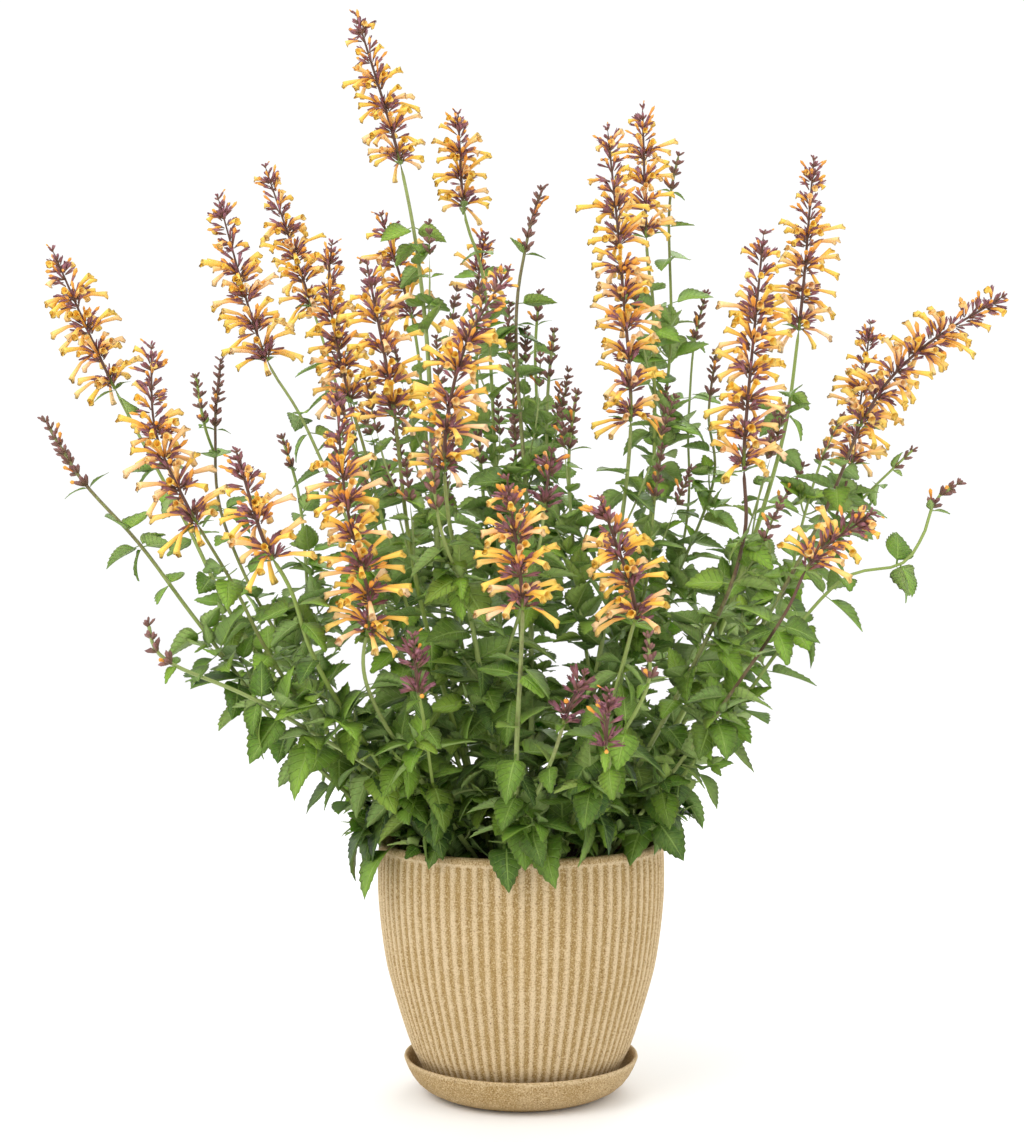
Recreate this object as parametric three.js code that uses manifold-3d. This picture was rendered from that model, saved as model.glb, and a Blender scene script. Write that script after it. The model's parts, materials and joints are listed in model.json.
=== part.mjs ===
// A potted giant hyssop in full flower: a fluted clay pot on its saucer, potting mix, leafy square stems
// and flower spikes. Millimetres, +Z up, the front faces -Y. The origin is the middle of the saucer's foot,
// on the surface that it stands on.
import * as THREE from "three";
import { mergeVertices } from "three/addons/utils/BufferGeometryUtils.js";
import Module from "manifold-3d";

const wasm = await Module();
wasm.setup();

const UP = new THREE.Vector3(0, 0, 1);

// Pot and saucer
const GAP = 0.3;
const SAUCER_FLOOR = 9.7;
const SAUCER_PROFILE = [
  [72, 0],
  [93, 12],
  [103.6, 30],
  [101, 33],
  [97.5, 30.5],
  [88, SAUCER_FLOOR],
];
const POT_BASE = SAUCER_FLOOR + GAP;
const POT_TOP = 223;
const POT_PROFILE = [
  [83, POT_BASE],
  [99, 46],
  [119.5, 114],
  [126.5, POT_TOP],
];
const POT_WALL = 8;
const POT_FLOOR = 22;
const DRAIN_RADIUS = 9;
const FLUTES = 80;
const FLUTE_DEPTH = 1.3;
const ROUND_SIDES = 28;
const SOIL_EDGE = 203;
const SOIL_CROWN = 207;

// Stems, leaves and flowers
const STEM_STEP = 72;
const STEM_TIP_RADIUS = 1.5;
const STEM_ROOM = 1.6;
const TUFT_ROOM = 3;
const RACHIS_RADIUS = 1.2;
const WHORL_SPACING = 25;
const WHORL_TURN = 0.8;
const TUFT_RADIUS = 5;
const TUFT_HEIGHT = 7;
const CALYX_LENGTHS = [14, 11];
const FLOWER_LENGTH = [31, 39];
const FLOWER_MOUTH = 7;
const FLOWER_LIFT = [0, 38];
const YOUNG_SPIKE = 55;
const YOUNG_FLOWER = 0.5;
const BUD_SPACING = 14;
const BUD_TUFT_RADIUS = 2.6;
const LEAF_LENGTH = [42, 60];
const LEAF_WIDTH = 0.62;
const LEAF_FOLD = 0.3;
const BLADE_THICKNESS = 1.4;
const PETIOLE_RADIUS = 1.1;
const FIRST_LEAF = 44;
const SIDE_FIRST_LEAF = 16;
const NODE_HALF = 2;

// Where a flower or leaf has no room, these are tried in turn: more turn and lift, in radians, and a share
// of its length.
const FLOWER_BENDS = [
  [0, 0, 1],
  [0.3, 0, 1],
  [-0.3, 0, 1],
  [0, 0.5, 1],
  [0, -0.4, 0.9],
  [0.2, 0.8, 0.8],
  [0, 0.3, 0.6],
];
const LEAF_BENDS = [
  [0, 0, 1],
  [0.4, 0, 1],
  [-0.4, 0, 1],
  [0, 0.5, 1],
  [0, -0.5, 1],
  [0.7, 0.2, 0.9],
  [-0.7, 0.2, 0.9],
  [0, 0.3, 0.75],
  [0.5, 0.8, 0.75],
  [-0.5, -0.3, 0.75],
  [0.2, 0.5, 0.6],
];

// The front view is taken from this far away, level with the middle of the plant. A point behind the pot's
// axis stands wider and further from that level than it looks, and one in front stands nearer.
const VIEW_DISTANCE = 1690;
const VIEW_HEIGHT = 461;

// A stem is a smooth line through hand-picked points, each [across, up, back]: how far right and how high
// it looks from the front, and how far behind the pot's axis it stands. `spike` is the length of the flower
// spike at its end, `bloom` gives the spike its own piece, and a stem with no bloom ends in closed buds.
// `thick` is its radius at the root, `pairs` its number of large leaf pairs, and `on` the stem that a side
// shoot grows from, at the share `from` of that stem's length.
const STEMS = [
  { name: "tall_left", thick: 3.6, pairs: 5, spike: 150, bloom: true,
    at: [[-30, 190, 22], [-70, 435, 75], [-84, 675, 119], [-105, 816, 131], [-146, 957, 138]] },
  { name: "slim_back", thick: 2.4, pairs: 4, spike: 96, bloom: true,
    at: [[-14, 190, 60], [-19, 471, 212], [-30, 702, 256], [-49, 779, 262], [-55, 869, 265]] },
  { name: "twin_back", thick: 2.8, pairs: 4, spike: 130, bloom: true,
    at: [[44, 190, 48], [112, 471, 188], [119, 675, 231], [113, 747, 238], [109, 873, 244]] },
  { name: "twin_front", thick: 3.2, pairs: 4, spike: 262, bloom: true,
    at: [[34, 190, -4], [72, 399, -6], [97, 577, 0], [90, 720, 6], [77, 855, 12]] },
  { name: "upright_right", thick: 3.4, pairs: 4, spike: 160, bloom: true,
    at: [[56, 190, 14], [159, 364, 62], [226, 551, 94], [247, 671, 100], [261, 828, 102]] },
  { name: "mid_right", thick: 2.8, pairs: 4, spike: 190, bloom: true,
    at: [[50, 190, -24], [160, 391, -119], [197, 488, -156], [198, 577, -169], [215, 762, -162]] },
  { name: "far_right", thick: 3.2, pairs: 5, spike: 168, bloom: true,
    at: [[64, 190, -8], [195, 382, -31], [266, 506, -50], [309, 604, -56], [355, 658, -60],
      [430, 706, -56]] },
  { name: "right_behind", thick: 2.8, pairs: 4, spike: 142, bloom: true,
    at: [[56, 190, 34], [190, 391, 138], [262, 471, 188], [291, 542, 206], [303, 613, 212],
      [312, 682, 212]] },
  { name: "low_right", thick: 2.4, pairs: 4, spike: 66, bloom: true,
    at: [[64, 190, -34], [159, 315, -150], [230, 417, -206], [259, 472, -225], [312, 513, -231]] },
  { name: "far_left", thick: 3.2, pairs: 4, spike: 132, bloom: true,
    at: [[-58, 190, 4], [-170, 305, 19], [-250, 410, 25], [-299, 506, 19], [-364, 629, 10],
      [-417, 747, 0]] },
  { name: "left_front", thick: 2.8, pairs: 5, spike: 150, bloom: true,
    at: [[-54, 190, -18], [-197, 346, -119], [-259, 453, -156], [-298, 520, -169], [-326, 586, -169],
      [-330, 662, -162]] },
  { name: "left_high", thick: 3.0, pairs: 4, spike: 145, bloom: true,
    at: [[-40, 190, -8], [-108, 391, -25], [-188, 582, -44], [-230, 658, -48], [-270, 794, -50]] },
  { name: "left_back", thick: 3.0, pairs: 4, spike: 148, bloom: true,
    at: [[-38, 190, 42], [-108, 425, 150], [-157, 604, 200], [-181, 684, 210], [-227, 822, 215]] },
  { name: "left_middle", thick: 2.6, pairs: 4, spike: 146, bloom: true,
    at: [[-22, 190, 8], [-103, 435, 31], [-139, 569, 44], [-152, 613, 48], [-170, 702, 50],
      [-168, 753, 52]] },
  { name: "left_column", thick: 3.0, pairs: 4, spike: 196, bloom: true,
    at: [[-30, 190, -48], [-133, 346, -188], [-136, 433, -219], [-157, 524, -225], [-166, 626, -212]] },
  { name: "centre_left", thick: 2.6, pairs: 3, spike: 106, bloom: true,
    at: [[-6, 190, 30], [-72, 488, 138], [-85, 595, 175], [-95, 680, 181], [-124, 779, 188]] },
  { name: "inner_left", thick: 2.6, pairs: 4, spike: 128, bloom: true,
    at: [[-20, 190, -28], [-90, 435, -88], [-115, 613, -110], [-138, 736, -112]] },
  { name: "centre_lean", thick: 3.0, pairs: 4, spike: 168, bloom: true,
    at: [[-6, 190, -36], [-45, 417, -150], [-65, 506, -181], [-68, 584, -194], [-50, 662, -194],
      [-12, 729, -188]] },
  { name: "back_centre", thick: 2.4, pairs: 3, spike: 70, bloom: true,
    at: [[8, 190, 68], [-32, 524, 294], [-38, 693, 312], [-30, 762, 315]] },
  { name: "front_centre", thick: 2.8, pairs: 4, spike: 98, bloom: true,
    at: [[-2, 190, -66], [-5, 293, -188], [-1, 391, -238], [-1, 448, -250], [-14, 544, -256]] },
  { name: "front_right", thick: 2.8, pairs: 4, spike: 98, bloom: true,
    at: [[30, 190, -58], [69, 310, -175], [95, 399, -212], [99, 437, -219], [69, 526, -225]] },
  { name: "front_left", thick: 2.6, pairs: 4, spike: 86, bloom: true,
    at: [[-56, 190, -40], [-170, 355, -188], [-206, 444, -225], [-230, 488, -235], [-255, 569, -238]] },
  { name: "green_centre", thick: 3.2, pairs: 5, spike: 64,
    at: [[10, 190, 18], [8, 471, 75], [-4, 666, 100], [5, 751, 102], [20, 804, 102]] },
  { name: "thin_far_left", thick: 2.2, pairs: 4, spike: 68,
    at: [[-66, 190, -10], [-197, 302, -75], [-286, 413, -100], [-339, 484, -100], [-391, 542, -94],
      [-425, 597, -88]] },
  { name: "fork_left", thick: 2.4, pairs: 4, spike: 68,
    at: [[-50, 190, 28], [-200, 380, 162], [-262, 500, 200], [-271, 585, 206], [-266, 650, 206]] },
  { name: "thin_right_back", thick: 2.2, pairs: 4, spike: 52,
    at: [[50, 190, 62], [142, 471, 250], [150, 595, 288], [155, 662, 294], [166, 709, 298]] },
  { name: "curl_right", thick: 2.2, pairs: 5, spike: 34,
    at: [[70, 190, -22], [177, 320, -88], [239, 404, -110], [288, 455, -115], [337, 467, -115],
      [357, 493, -115], [368, 524, -112], [392, 541, -112]] },
  { name: "brown_centre", thick: 2.4, pairs: 3, spike: 112,
    at: [[6, 190, 44], [-1, 435, 150], [-4, 568, 181], [-9, 680, 188]] },
  { name: "head_centre", on: "centre_lean", from: 0.3, thick: 1.8, pairs: 1, spike: 44, bloom: true,
    at: [[12, 470, -162], [20, 520, -148], [27, 569, -144]] },
  { name: "head_low_left", on: "left_column", from: 0.22, thick: 1.8, pairs: 1, spike: 48, bloom: true,
    at: [[-88, 330, -219], [-93, 355, -238], [-98, 404, -250]] },
  { name: "head_low_centre", on: "front_centre", from: 0.16, thick: 1.8, pairs: 1, spike: 42, bloom: true,
    at: [[25, 290, -206], [40, 335, -238], [56, 371, -244]] },
  { name: "head_low_right", on: "front_right", from: 0.2, thick: 1.8, pairs: 1, spike: 48, bloom: true,
    at: [[76, 285, -206], [74, 306, -256], [77, 355, -275]] },
  { name: "fork_left_small", on: "fork_left", from: 0.84, thick: 1.5, pairs: 0, spike: 48,
    at: [[-281, 592, 181], [-289, 637, 175]] },
  { name: "low_left", on: "front_left", from: 0.3, thick: 1.8, pairs: 2, spike: 40,
    at: [[-235, 345, -188], [-317, 382, -206], [-334, 417, -206]] },
  { name: "inner_left_back", on: "fork_left", from: 0.42, thick: 1.8, pairs: 1, spike: 34,
    at: [[-190, 460, 219], [-197, 530, 238], [-212, 582, 238]] },
  { name: "back_thin", on: "back_centre", from: 0.5, thick: 1.8, pairs: 1, spike: 34,
    at: [[12, 560, 288], [14, 660, 306], [18, 711, 306]] },
  { name: "centre_thin", on: "green_centre", from: 0.4, thick: 1.8, pairs: 1, spike: 48,
    at: [[22, 500, 112], [24, 610, 138], [30, 677, 140]] },
  { name: "twin_side", on: "twin_front", from: 0.24, thick: 1.8, pairs: 2, spike: 54,
    at: [[48, 471, 50], [43, 560, 75], [50, 622, 78]] },
  { name: "back_top_right", on: "twin_back", from: 0.5, thick: 1.8, pairs: 1, spike: 40,
    at: [[134, 660, 269], [133, 780, 294], [142, 834, 298]] },
  { name: "right_thin", on: "thin_right_back", from: 0.5, thick: 1.8, pairs: 1, spike: 46,
    at: [[172, 540, 250], [168, 600, 256], [175, 657, 256]] },
  { name: "right_inner", on: "twin_back", from: 0.3, thick: 1.8, pairs: 1, spike: 48,
    at: [[112, 450, 106], [119, 520, 106], [126, 572, 106]] },
  { name: "right_cluster", on: "upright_right", from: 0.38, thick: 1.8, pairs: 1, spike: 48,
    at: [[200, 455, 131], [226, 510, 148], [253, 556, 150]] },
  { name: "right_top_side", on: "right_behind", from: 0.55, thick: 1.8, pairs: 1, spike: 50,
    at: [[250, 500, 150], [268, 560, 144], [287, 600, 140]] },
  { name: "right_far_side", on: "right_behind", from: 0.62, thick: 1.6, pairs: 1, spike: 30,
    at: [[300, 520, 231], [335, 555, 250], [351, 570, 256]] },
  { name: "pink_side", on: "centre_lean", from: 0.5, thick: 1.8, pairs: 0, spike: 52,
    at: [[-73, 500, -231], [-83, 577, -250]] },
  { name: "front_right_side", on: "front_right", from: 0.3, thick: 1.6, pairs: 1, spike: 34,
    at: [[108, 350, -244], [112, 405, -256]] },
];

const FINISHES = {
  leaf: { color: 0x4f7a34, roughness: 0.6, metalness: 0 },
  bloom: { color: 0xe9a53f, roughness: 0.6, metalness: 0 },
  clay: { color: 0xc8a56c, roughness: 0.85, metalness: 0 },
  soil: { color: 0x2b211a, roughness: 1, metalness: 0 },
};

const radians = THREE.MathUtils.degToRad;
const lerp = THREE.MathUtils.lerp;

// Random draws that come out the same on every run.
class Draw {
  constructor(seed) {
    this.state = (seed * 7919 + 104729) % 2147483647;
  }

  between(low, high) {
    this.state = (this.state * 16807) % 2147483647;
    return low + ((high - low) * this.state) / 2147483647;
  }
}

// Solids

function solidOf(geometry) {
  const bare = geometry.clone();
  bare.deleteAttribute("normal");
  bare.deleteAttribute("uv");
  const merged = mergeVertices(bare, 1e-3);
  return new wasm.Manifold(
    new wasm.Mesh({
      numProp: 3,
      vertProperties: merged.attributes.position.array,
      triVerts: new Uint32Array(merged.index.array),
    }),
  );
}

function geometryOf(solid) {
  const mesh = solid.getMesh();
  const geometry = new THREE.BufferGeometry();
  geometry.setAttribute("position", new THREE.BufferAttribute(mesh.vertProperties, 3));
  geometry.setIndex(new THREE.BufferAttribute(mesh.triVerts, 1));
  return geometry;
}

function geometryFrom(points, faces) {
  const geometry = new THREE.BufferGeometry();
  const flat = points.flatMap((p) => p.toArray());
  geometry.setAttribute("position", new THREE.Float32BufferAttribute(flat, 3));
  geometry.setIndex(faces.flat());
  return geometry;
}

function turned(profile, sides) {
  const outline = profile.map(([radius, height]) => new THREE.Vector2(radius, height));
  return new THREE.LatheGeometry(outline, sides).rotateX(Math.PI / 2);
}

// Pot, saucer and soil

// The pot's outside: rings with a vertex on every rib and in every flute, above a plain foot.
function flutedBody() {
  const around = 2 * FLUTES;
  const last = (POT_PROFILE.length - 1) * around;
  const points = POT_PROFILE.flatMap(([radius, height], level) =>
    Array.from({ length: around }, (_, i) => {
      const relief = level === 0 ? 0 : (i % 2 ? -0.5 : 0.5) * FLUTE_DEPTH;
      const angle = (i / around) * 2 * Math.PI;
      return new THREE.Vector3(radius + relief, 0, height).applyAxisAngle(UP, angle);
    }),
  );
  const foot = points.push(new THREE.Vector3(0, 0, POT_BASE)) - 1;
  const lid = points.push(new THREE.Vector3(0, 0, POT_TOP)) - 1;
  const faces = [];
  for (let i = 0; i < around; i++) {
    const next = (i + 1) % around;
    for (let ring = 0; ring < last; ring += around) {
      const above = ring + around;
      faces.push([ring + i, ring + next, above + next], [ring + i, above + next, above + i]);
    }
    faces.push([foot, next, i], [lid, last + i, last + next]);
  }
  return solidOf(geometryFrom(points, faces));
}

// The pot's outer radius at a height.
function potRadius(height) {
  const next = POT_PROFILE.findIndex(([, above]) => above >= height);
  const [[r0, z0], [r1, z1]] = POT_PROFILE.slice(next - 1, next + 1);
  return lerp(r0, r1, (height - z0) / (z1 - z0));
}

// The pot's inside from its floor up to a height, drawn in by a clearance.
function insideProfile(top, clearance) {
  const floor = POT_FLOOR + clearance;
  const heights = POT_PROFILE.map(([, height]) => height);
  const between = heights.filter((height) => height > floor && height < top);
  return [floor, ...between, top].map((height) => [potRadius(height) - POT_WALL - clearance, height]);
}

function potSolid() {
  const above = POT_TOP + 5;
  const inside = insideProfile(POT_TOP, 0);
  const cavity = turned([[0, POT_FLOOR], ...inside, [inside.at(-1)[0], above], [0, above]], ROUND_SIDES);
  const drain = turned([[0, 0], [DRAIN_RADIUS, 0], [DRAIN_RADIUS, above], [0, above]], 12);
  return flutedBody().subtract(solidOf(cavity)).subtract(solidOf(drain));
}

function soilSolid(holes) {
  const profile = [[0, POT_FLOOR + GAP], ...insideProfile(SOIL_EDGE, GAP), [0, SOIL_CROWN]];
  return holes.reduce((soil, hole) => soil.subtract(hole), solidOf(turned(profile, ROUND_SIDES)));
}

function saucerGeometry() {
  return turned([[0, 0], ...SAUCER_PROFILE, [0, SAUCER_FLOOR]], ROUND_SIDES);
}

// Stems

function fromFront([across, up, back]) {
  const spread = 1 + back / VIEW_DISTANCE;
  return new THREE.Vector3(across * spread, back, VIEW_HEIGHT + (up - VIEW_HEIGHT) * spread);
}

// The line of a stem, and the directions of its square section along it.
class Shoot {
  constructor(row, index, parent) {
    Object.assign(this, row);
    this.index = index;
    this.parent = parent;
    this.joints = [];
    const points = row.at.map(fromFront);
    if (parent) {
      parent.joints.push(row.from * parent.length);
      points.unshift(parent.point(row.from * parent.length));
    }
    this.line = new THREE.CatmullRomCurve3(points, false, "catmullrom", 0.5);
    this.line.arcLengthDivisions = 400;
    this.length = this.line.getLength();
    this.foot = this.length - row.spike;
    this.turn = new Draw(index).between(0, Math.PI / 2);
  }

  get root() {
    return this.parent ? this.parent.root : this;
  }

  // The point at a distance along the stem, also a little past either end.
  point(distance) {
    const inside = THREE.MathUtils.clamp(distance / this.length, 0, 1);
    const past = distance - inside * this.length;
    return this.line.getPointAt(inside).addScaledVector(this.line.getTangentAt(inside), past);
  }

  along(distance) {
    return this.line.getTangentAt(THREE.MathUtils.clamp(distance / this.length, 0, 1));
  }

  // A unit vector square to the stem, turned by an angle about it.
  out(distance, angle) {
    const along = this.along(distance);
    const side = new THREE.Vector3(0, -1, 0).cross(along).normalize();
    return side.applyAxisAngle(along, this.turn + angle);
  }

  // A vector out from the stem at an angle round it, lifted towards its tip.
  reach(distance, angle, lift, length) {
    const out = this.out(distance, angle).multiplyScalar(Math.cos(lift) * length);
    return out.addScaledVector(this.along(distance), Math.sin(lift) * length);
  }

  radius(distance) {
    return lerp(this.thick, STEM_TIP_RADIUS, Math.min(distance / this.foot, 1));
  }
}

// A closed skin over square rings, whose triangles can be drawn out into points and flowers.
class Skin {
  points = [];
  faces = [];
  rings = [];

  ring(shoot, distance, radius, angle = 0) {
    const corners = [0, 1, 2, 3].map((k) => {
      const out = shoot.out(distance, angle + (k * Math.PI) / 2);
      return this.points.push(shoot.point(distance).addScaledVector(out, radius)) - 1;
    });
    const below = this.rings.at(-1);
    this.rings.push(corners);
    if (!below) return [];
    const band = corners.map((corner, k) => {
      const n = (k + 1) % 4;
      return { lower: [below[k], below[n], corners[n]], upper: [below[k], corners[n], corner] };
    });
    this.faces.push(...band.flatMap(({ lower, upper }) => [lower, upper]));
    return band;
  }

  // Draws a triangle out to a point.
  spur([a, b, c], end) {
    const tip = this.points.push(end) - 1;
    this.replace([a, b, c], [[a, b, tip], [b, c, tip], [c, a, tip]]);
  }

  // Draws a triangle out to a three-cornered mouth.
  horn(face, end, width) {
    const middle = face.reduce((sum, v) => sum.add(this.points[v]), new THREE.Vector3()).divideScalar(3);
    const along = end.clone().sub(middle).normalize();
    const mouth = face.map((v) => {
      const off = this.points[v].clone().sub(middle).projectOnPlane(along).setLength(width / 2);
      return this.points.push(end.clone().add(off)) - 1;
    });
    const sides = face.flatMap((v, k) => {
      const n = (k + 1) % 3;
      return [[v, face[n], mouth[n]], [v, mouth[n], mouth[k]]];
    });
    this.replace(face, [...sides, mouth]);
  }

  replace([a, b, c], faces) {
    const at = this.faces.findIndex(([i, j, k]) => i === a && j === b && k === c);
    this.faces.splice(at, 1, ...faces);
  }

  solid() {
    const first = this.rings[0];
    const last = this.rings.at(-1);
    const caps = [
      [first[0], first[2], first[1]],
      [first[0], first[3], first[2]],
      [last[0], last[1], last[2]],
      [last[0], last[2], last[3]],
    ];
    return solidOf(geometryFrom(this.points, [...this.faces, ...caps]));
  }
}

// Balls that stand for what has been placed, so that what comes later keeps clear of it.
class Clearance {
  balls = [];

  add(owner, balls) {
    balls.forEach(([centre, radius]) => this.balls.push({ owner, centre, radius }));
  }

  // Whether balls are clear of everything that isn't their owner's own.
  clear(owner, balls) {
    return balls.every(([centre, radius]) =>
      this.balls.every((other) =>
        other.owner === owner || other.centre.distanceTo(centre) > other.radius + radius + 0.5));
  }
}

// The balls along a stem and up its spike, which is wider for its tufts.
function stemBalls(shoot) {
  const spacing = 5;
  const count = Math.floor(shoot.length / spacing);
  return Array.from({ length: count + 1 }, (_, i) => {
    const at = i * spacing;
    const leafy = at < shoot.foot - 2;
    return [shoot.point(at), leafy ? shoot.radius(at) + STEM_ROOM : TUFT_RADIUS + TUFT_ROOM];
  });
}

// Flower spikes

// The whorls of a spike: where each sits, how large it is, and its flowers, where there is room for them.
// The flowers of a young, short spike are still buds.
function whorlsOf(shoot, clearance) {
  const draw = new Draw(100 + shoot.index);
  const count = Math.max(2, Math.round(shoot.spike / WHORL_SPACING));
  const closed = Math.min(2, Math.floor(count / 3));
  const grown = shoot.spike > YOUNG_SPIKE ? 1 : YOUNG_FLOWER;
  return Array.from({ length: count }, (_, i) => {
    const at = shoot.foot + 2 + (i * (shoot.spike - 4)) / count;
    const turn = i * WHORL_TURN;
    const size = i < count - closed ? 1 : 0.75 - 0.2 * (i - count + closed);
    const flowers = [0, 1, 2, 3].map((k) => {
      const angle = turn + ((k + 0.4) * Math.PI) / 2 + draw.between(-0.15, 0.15);
      const lift = radians(draw.between(...FLOWER_LIFT));
      const length = draw.between(...FLOWER_LENGTH) * grown;
      return size === 1 ? flowerWithRoom(shoot, at + 4, angle, lift, length, clearance) : null;
    });
    return { at, turn, size, flowers };
  });
}

// The middle of a flower's mouth, bent to where it is clear of its neighbours, or null where no bend is.
function flowerWithRoom(shoot, at, angle, lift, length, clearance) {
  const owner = `${shoot.name} bloom`;
  for (const [turn, rise, share] of FLOWER_BENDS) {
    const reach = shoot.reach(at, angle + turn, lift + rise, length * share);
    const balls = [0.4, 0.6, 0.8, 1].map((part) => {
      const radius = lerp(1.5, FLOWER_MOUTH / 2 + 0.5, part);
      return [shoot.point(at).addScaledVector(reach, part), radius];
    });
    if (clearance.clear(owner, balls)) {
      clearance.add(owner, balls);
      return shoot.point(at).add(reach);
    }
  }
  return null;
}

// A flower spike: a slim square axis with a tuft of calyx points and long flowers at every whorl.
function bloomSolid(shoot, clearance) {
  const skin = new Skin();
  skin.ring(shoot, shoot.foot + GAP, RACHIS_RADIUS);
  const [longCalyx, shortCalyx] = CALYX_LENGTHS;
  for (const { at, turn, size, flowers } of whorlsOf(shoot, clearance)) {
    skin.ring(shoot, at, RACHIS_RADIUS + 0.4, turn);
    const tuft = skin.ring(shoot, at + TUFT_HEIGHT * size, TUFT_RADIUS * size, turn);
    tuft.forEach(({ lower, upper }, k) => {
      const angle = turn + ((k + 0.5) * Math.PI) / 2 + 0.3;
      const calyx = (lift, length) => shoot.point(at + 3).add(shoot.reach(at, angle, lift, length * size));
      if (flowers[k]) skin.horn(upper, flowers[k], FLOWER_MOUTH);
      else skin.spur(upper, calyx(radians(50), longCalyx));
      if (k === 1 && size === 1) skin.spur(lower, calyx(radians(5), shortCalyx));
    });
  }
  skin.ring(shoot, shoot.length, RACHIS_RADIUS - 0.3);
  return skin.solid();
}

// The closed buds at the end of a shoot: small tufts that narrow towards the tip.
function addBuds(skin, shoot) {
  const count = Math.max(2, Math.round(shoot.spike / BUD_SPACING));
  const spacing = (shoot.spike - 3) / count;
  for (let i = 0; i < count; i++) {
    const at = shoot.foot + 2 + (i + 0.4) * spacing;
    const size = 1 - (0.5 * i) / count;
    const band = skin.ring(shoot, at, BUD_TUFT_RADIUS * size);
    for (const quarter of [i % 2, (i % 2) + 2]) {
      const reach = shoot.reach(at, ((quarter + 0.5) * Math.PI) / 2, radians(50), 9 * size);
      skin.spur(band[quarter].upper, shoot.point(at).add(reach));
    }
  }
  skin.ring(shoot, shoot.length, 0.7);
}

// A stem with its leaves drawn out of it at every node, and with its closed buds if it has no flower spike.
function stemSolid(shoot, pairs) {
  const skin = new Skin();
  skin.ring(shoot, 0, shoot.radius(0));
  const plain = [...shoot.joints, shoot.foot].map((at) => ({ at, leaves: [] }));
  let below = 0;
  for (const { at, leaves } of [...pairs, ...plain].sort((a, b) => a.at - b.at)) {
    const steps = Math.round((at - below) / STEM_STEP);
    for (let i = 1; i < steps; i++) {
      const between = lerp(below, at, i / steps);
      skin.ring(shoot, between, shoot.radius(between));
    }
    skin.ring(shoot, at - (leaves.length && NODE_HALF), shoot.radius(at));
    if (leaves.length) {
      const band = skin.ring(shoot, at + NODE_HALF, shoot.radius(at));
      leaves.forEach(({ quarter, leaf }) => leaf.drawOut(skin, band[quarter].upper));
    }
    below = at;
  }
  if (!shoot.bloom) addBuds(skin, shoot);
  return skin.solid();
}

// The plain hole that a stem stands in.
function holeSolid(shoot) {
  const skin = new Skin();
  skin.ring(shoot, -GAP, shoot.thick + 1.5 * GAP);
  skin.ring(shoot, STEM_STEP, shoot.thick + 1.5 * GAP);
  return skin.solid();
}

// Leaves

// One side of a blade's outline beyond its petiole: [share of the length, share of the half width].
const TOOTHED_EDGE = [[0.3, 0.96], [0.48, 0.84], [0.54, 0.9], [0.72, 0.54]];
const PLAIN_EDGE = [[0.34, 1], [0.66, 0.66]];
const SMALL_EDGE = [[0.4, 1]];
const TOOTHED_LENGTH = 49;
const SMALL_LENGTH = 31;

// A leaf, folded a little along its rib and bent down towards its tip. Its root is on the stem's axis.
class Leaf {
  constructor(root, out, up, length, bend) {
    Object.assign(this, { root, out, up, length, bend });
    this.side = new THREE.Vector3().crossVectors(up, out);
    this.halfWidth = (LEAF_WIDTH * length) / 2;
  }

  // A point of the leaf at a share of its length, a distance left of its rib and a height off its blade.
  at(share, left, off) {
    const angle = this.bend * share;
    const fold = LEAF_FOLD * Math.abs(left);
    return this.root
      .clone()
      .addScaledVector(this.out, this.length * share * Math.cos(angle / 2) + off * Math.sin(angle))
      .addScaledVector(this.side, left)
      .addScaledVector(this.up, fold - this.length * share * Math.sin(angle / 2) + off * Math.cos(angle));
  }

  balls() {
    const row = [[0.4, 0.42], [0.6, 0.38], [0.8, 0.24], [0.96, 0.1]];
    const middle = row.map(([share, size]) => [this.at(share, 0, 0), size * this.halfWidth + 1]);
    const sides = [-0.62, 0.62].flatMap((left) =>
      [[0.36, 0.4], [0.56, 0.3]].map(([share, size]) => [
        this.at(share, left * this.halfWidth, 0), size * this.halfWidth + 0.6]));
    return [...middle, ...sides];
  }

  // Draws a triangle of a stem's skin out into the leaf: a three-cornered petiole, then the blade.
  drawOut(skin, face) {
    const add = (share, left, off) => skin.points.push(this.at(share, left, off)) - 1;
    const left = add(0.2, PETIOLE_RADIUS, 0.5);
    const right = add(0.2, -PETIOLE_RADIUS, 0.5);
    const below = add(0.2, 0, -PETIOLE_RADIUS);
    const root = leastTwist(skin.points, face, [left, right, below]);
    const edge = this.edge();
    const side = (sign) => edge.map(([share, wide]) => add(share, sign * wide * this.halfWidth, 0));
    const rim = [right, ...side(-1), add(1, 0, 0), ...side(1).reverse(), left];
    const top = add(0.42, 0, BLADE_THICKNESS / 2);
    const bottom = add(0.42, 0, -BLADE_THICKNESS / 2);
    const petiole = [left, right, below].flatMap((v, k, ring) => {
      const n = (k + 1) % 3;
      return [[root[k], root[n], ring[n]], [root[k], ring[n], v]];
    });
    const blade = rim.slice(1).flatMap((v, k) => [[top, rim[k], v], [bottom, v, rim[k]]]);
    const joint = [[top, left, right], [bottom, right, below], [bottom, below, left]];
    skin.replace(face, [...petiole, ...blade, ...joint]);
  }

  edge() {
    if (this.length > TOOTHED_LENGTH) return TOOTHED_EDGE;
    return this.length > SMALL_LENGTH ? PLAIN_EDGE : SMALL_EDGE;
  }
}

// The turn of a triangle's corners that lies nearest to another triangle's.
function leastTwist(points, face, target) {
  const apart = (v, corner) => points[v].distanceTo(points[face[corner % 3]]);
  const twist = (turn) => target.reduce((sum, v, k) => sum + apart(v, k + turn), 0);
  const turn = [0, 1, 2].reduce((best, other) => (twist(other) < twist(best) ? other : best));
  return face.map((_, k) => face[(k + turn) % 3]);
}

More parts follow.
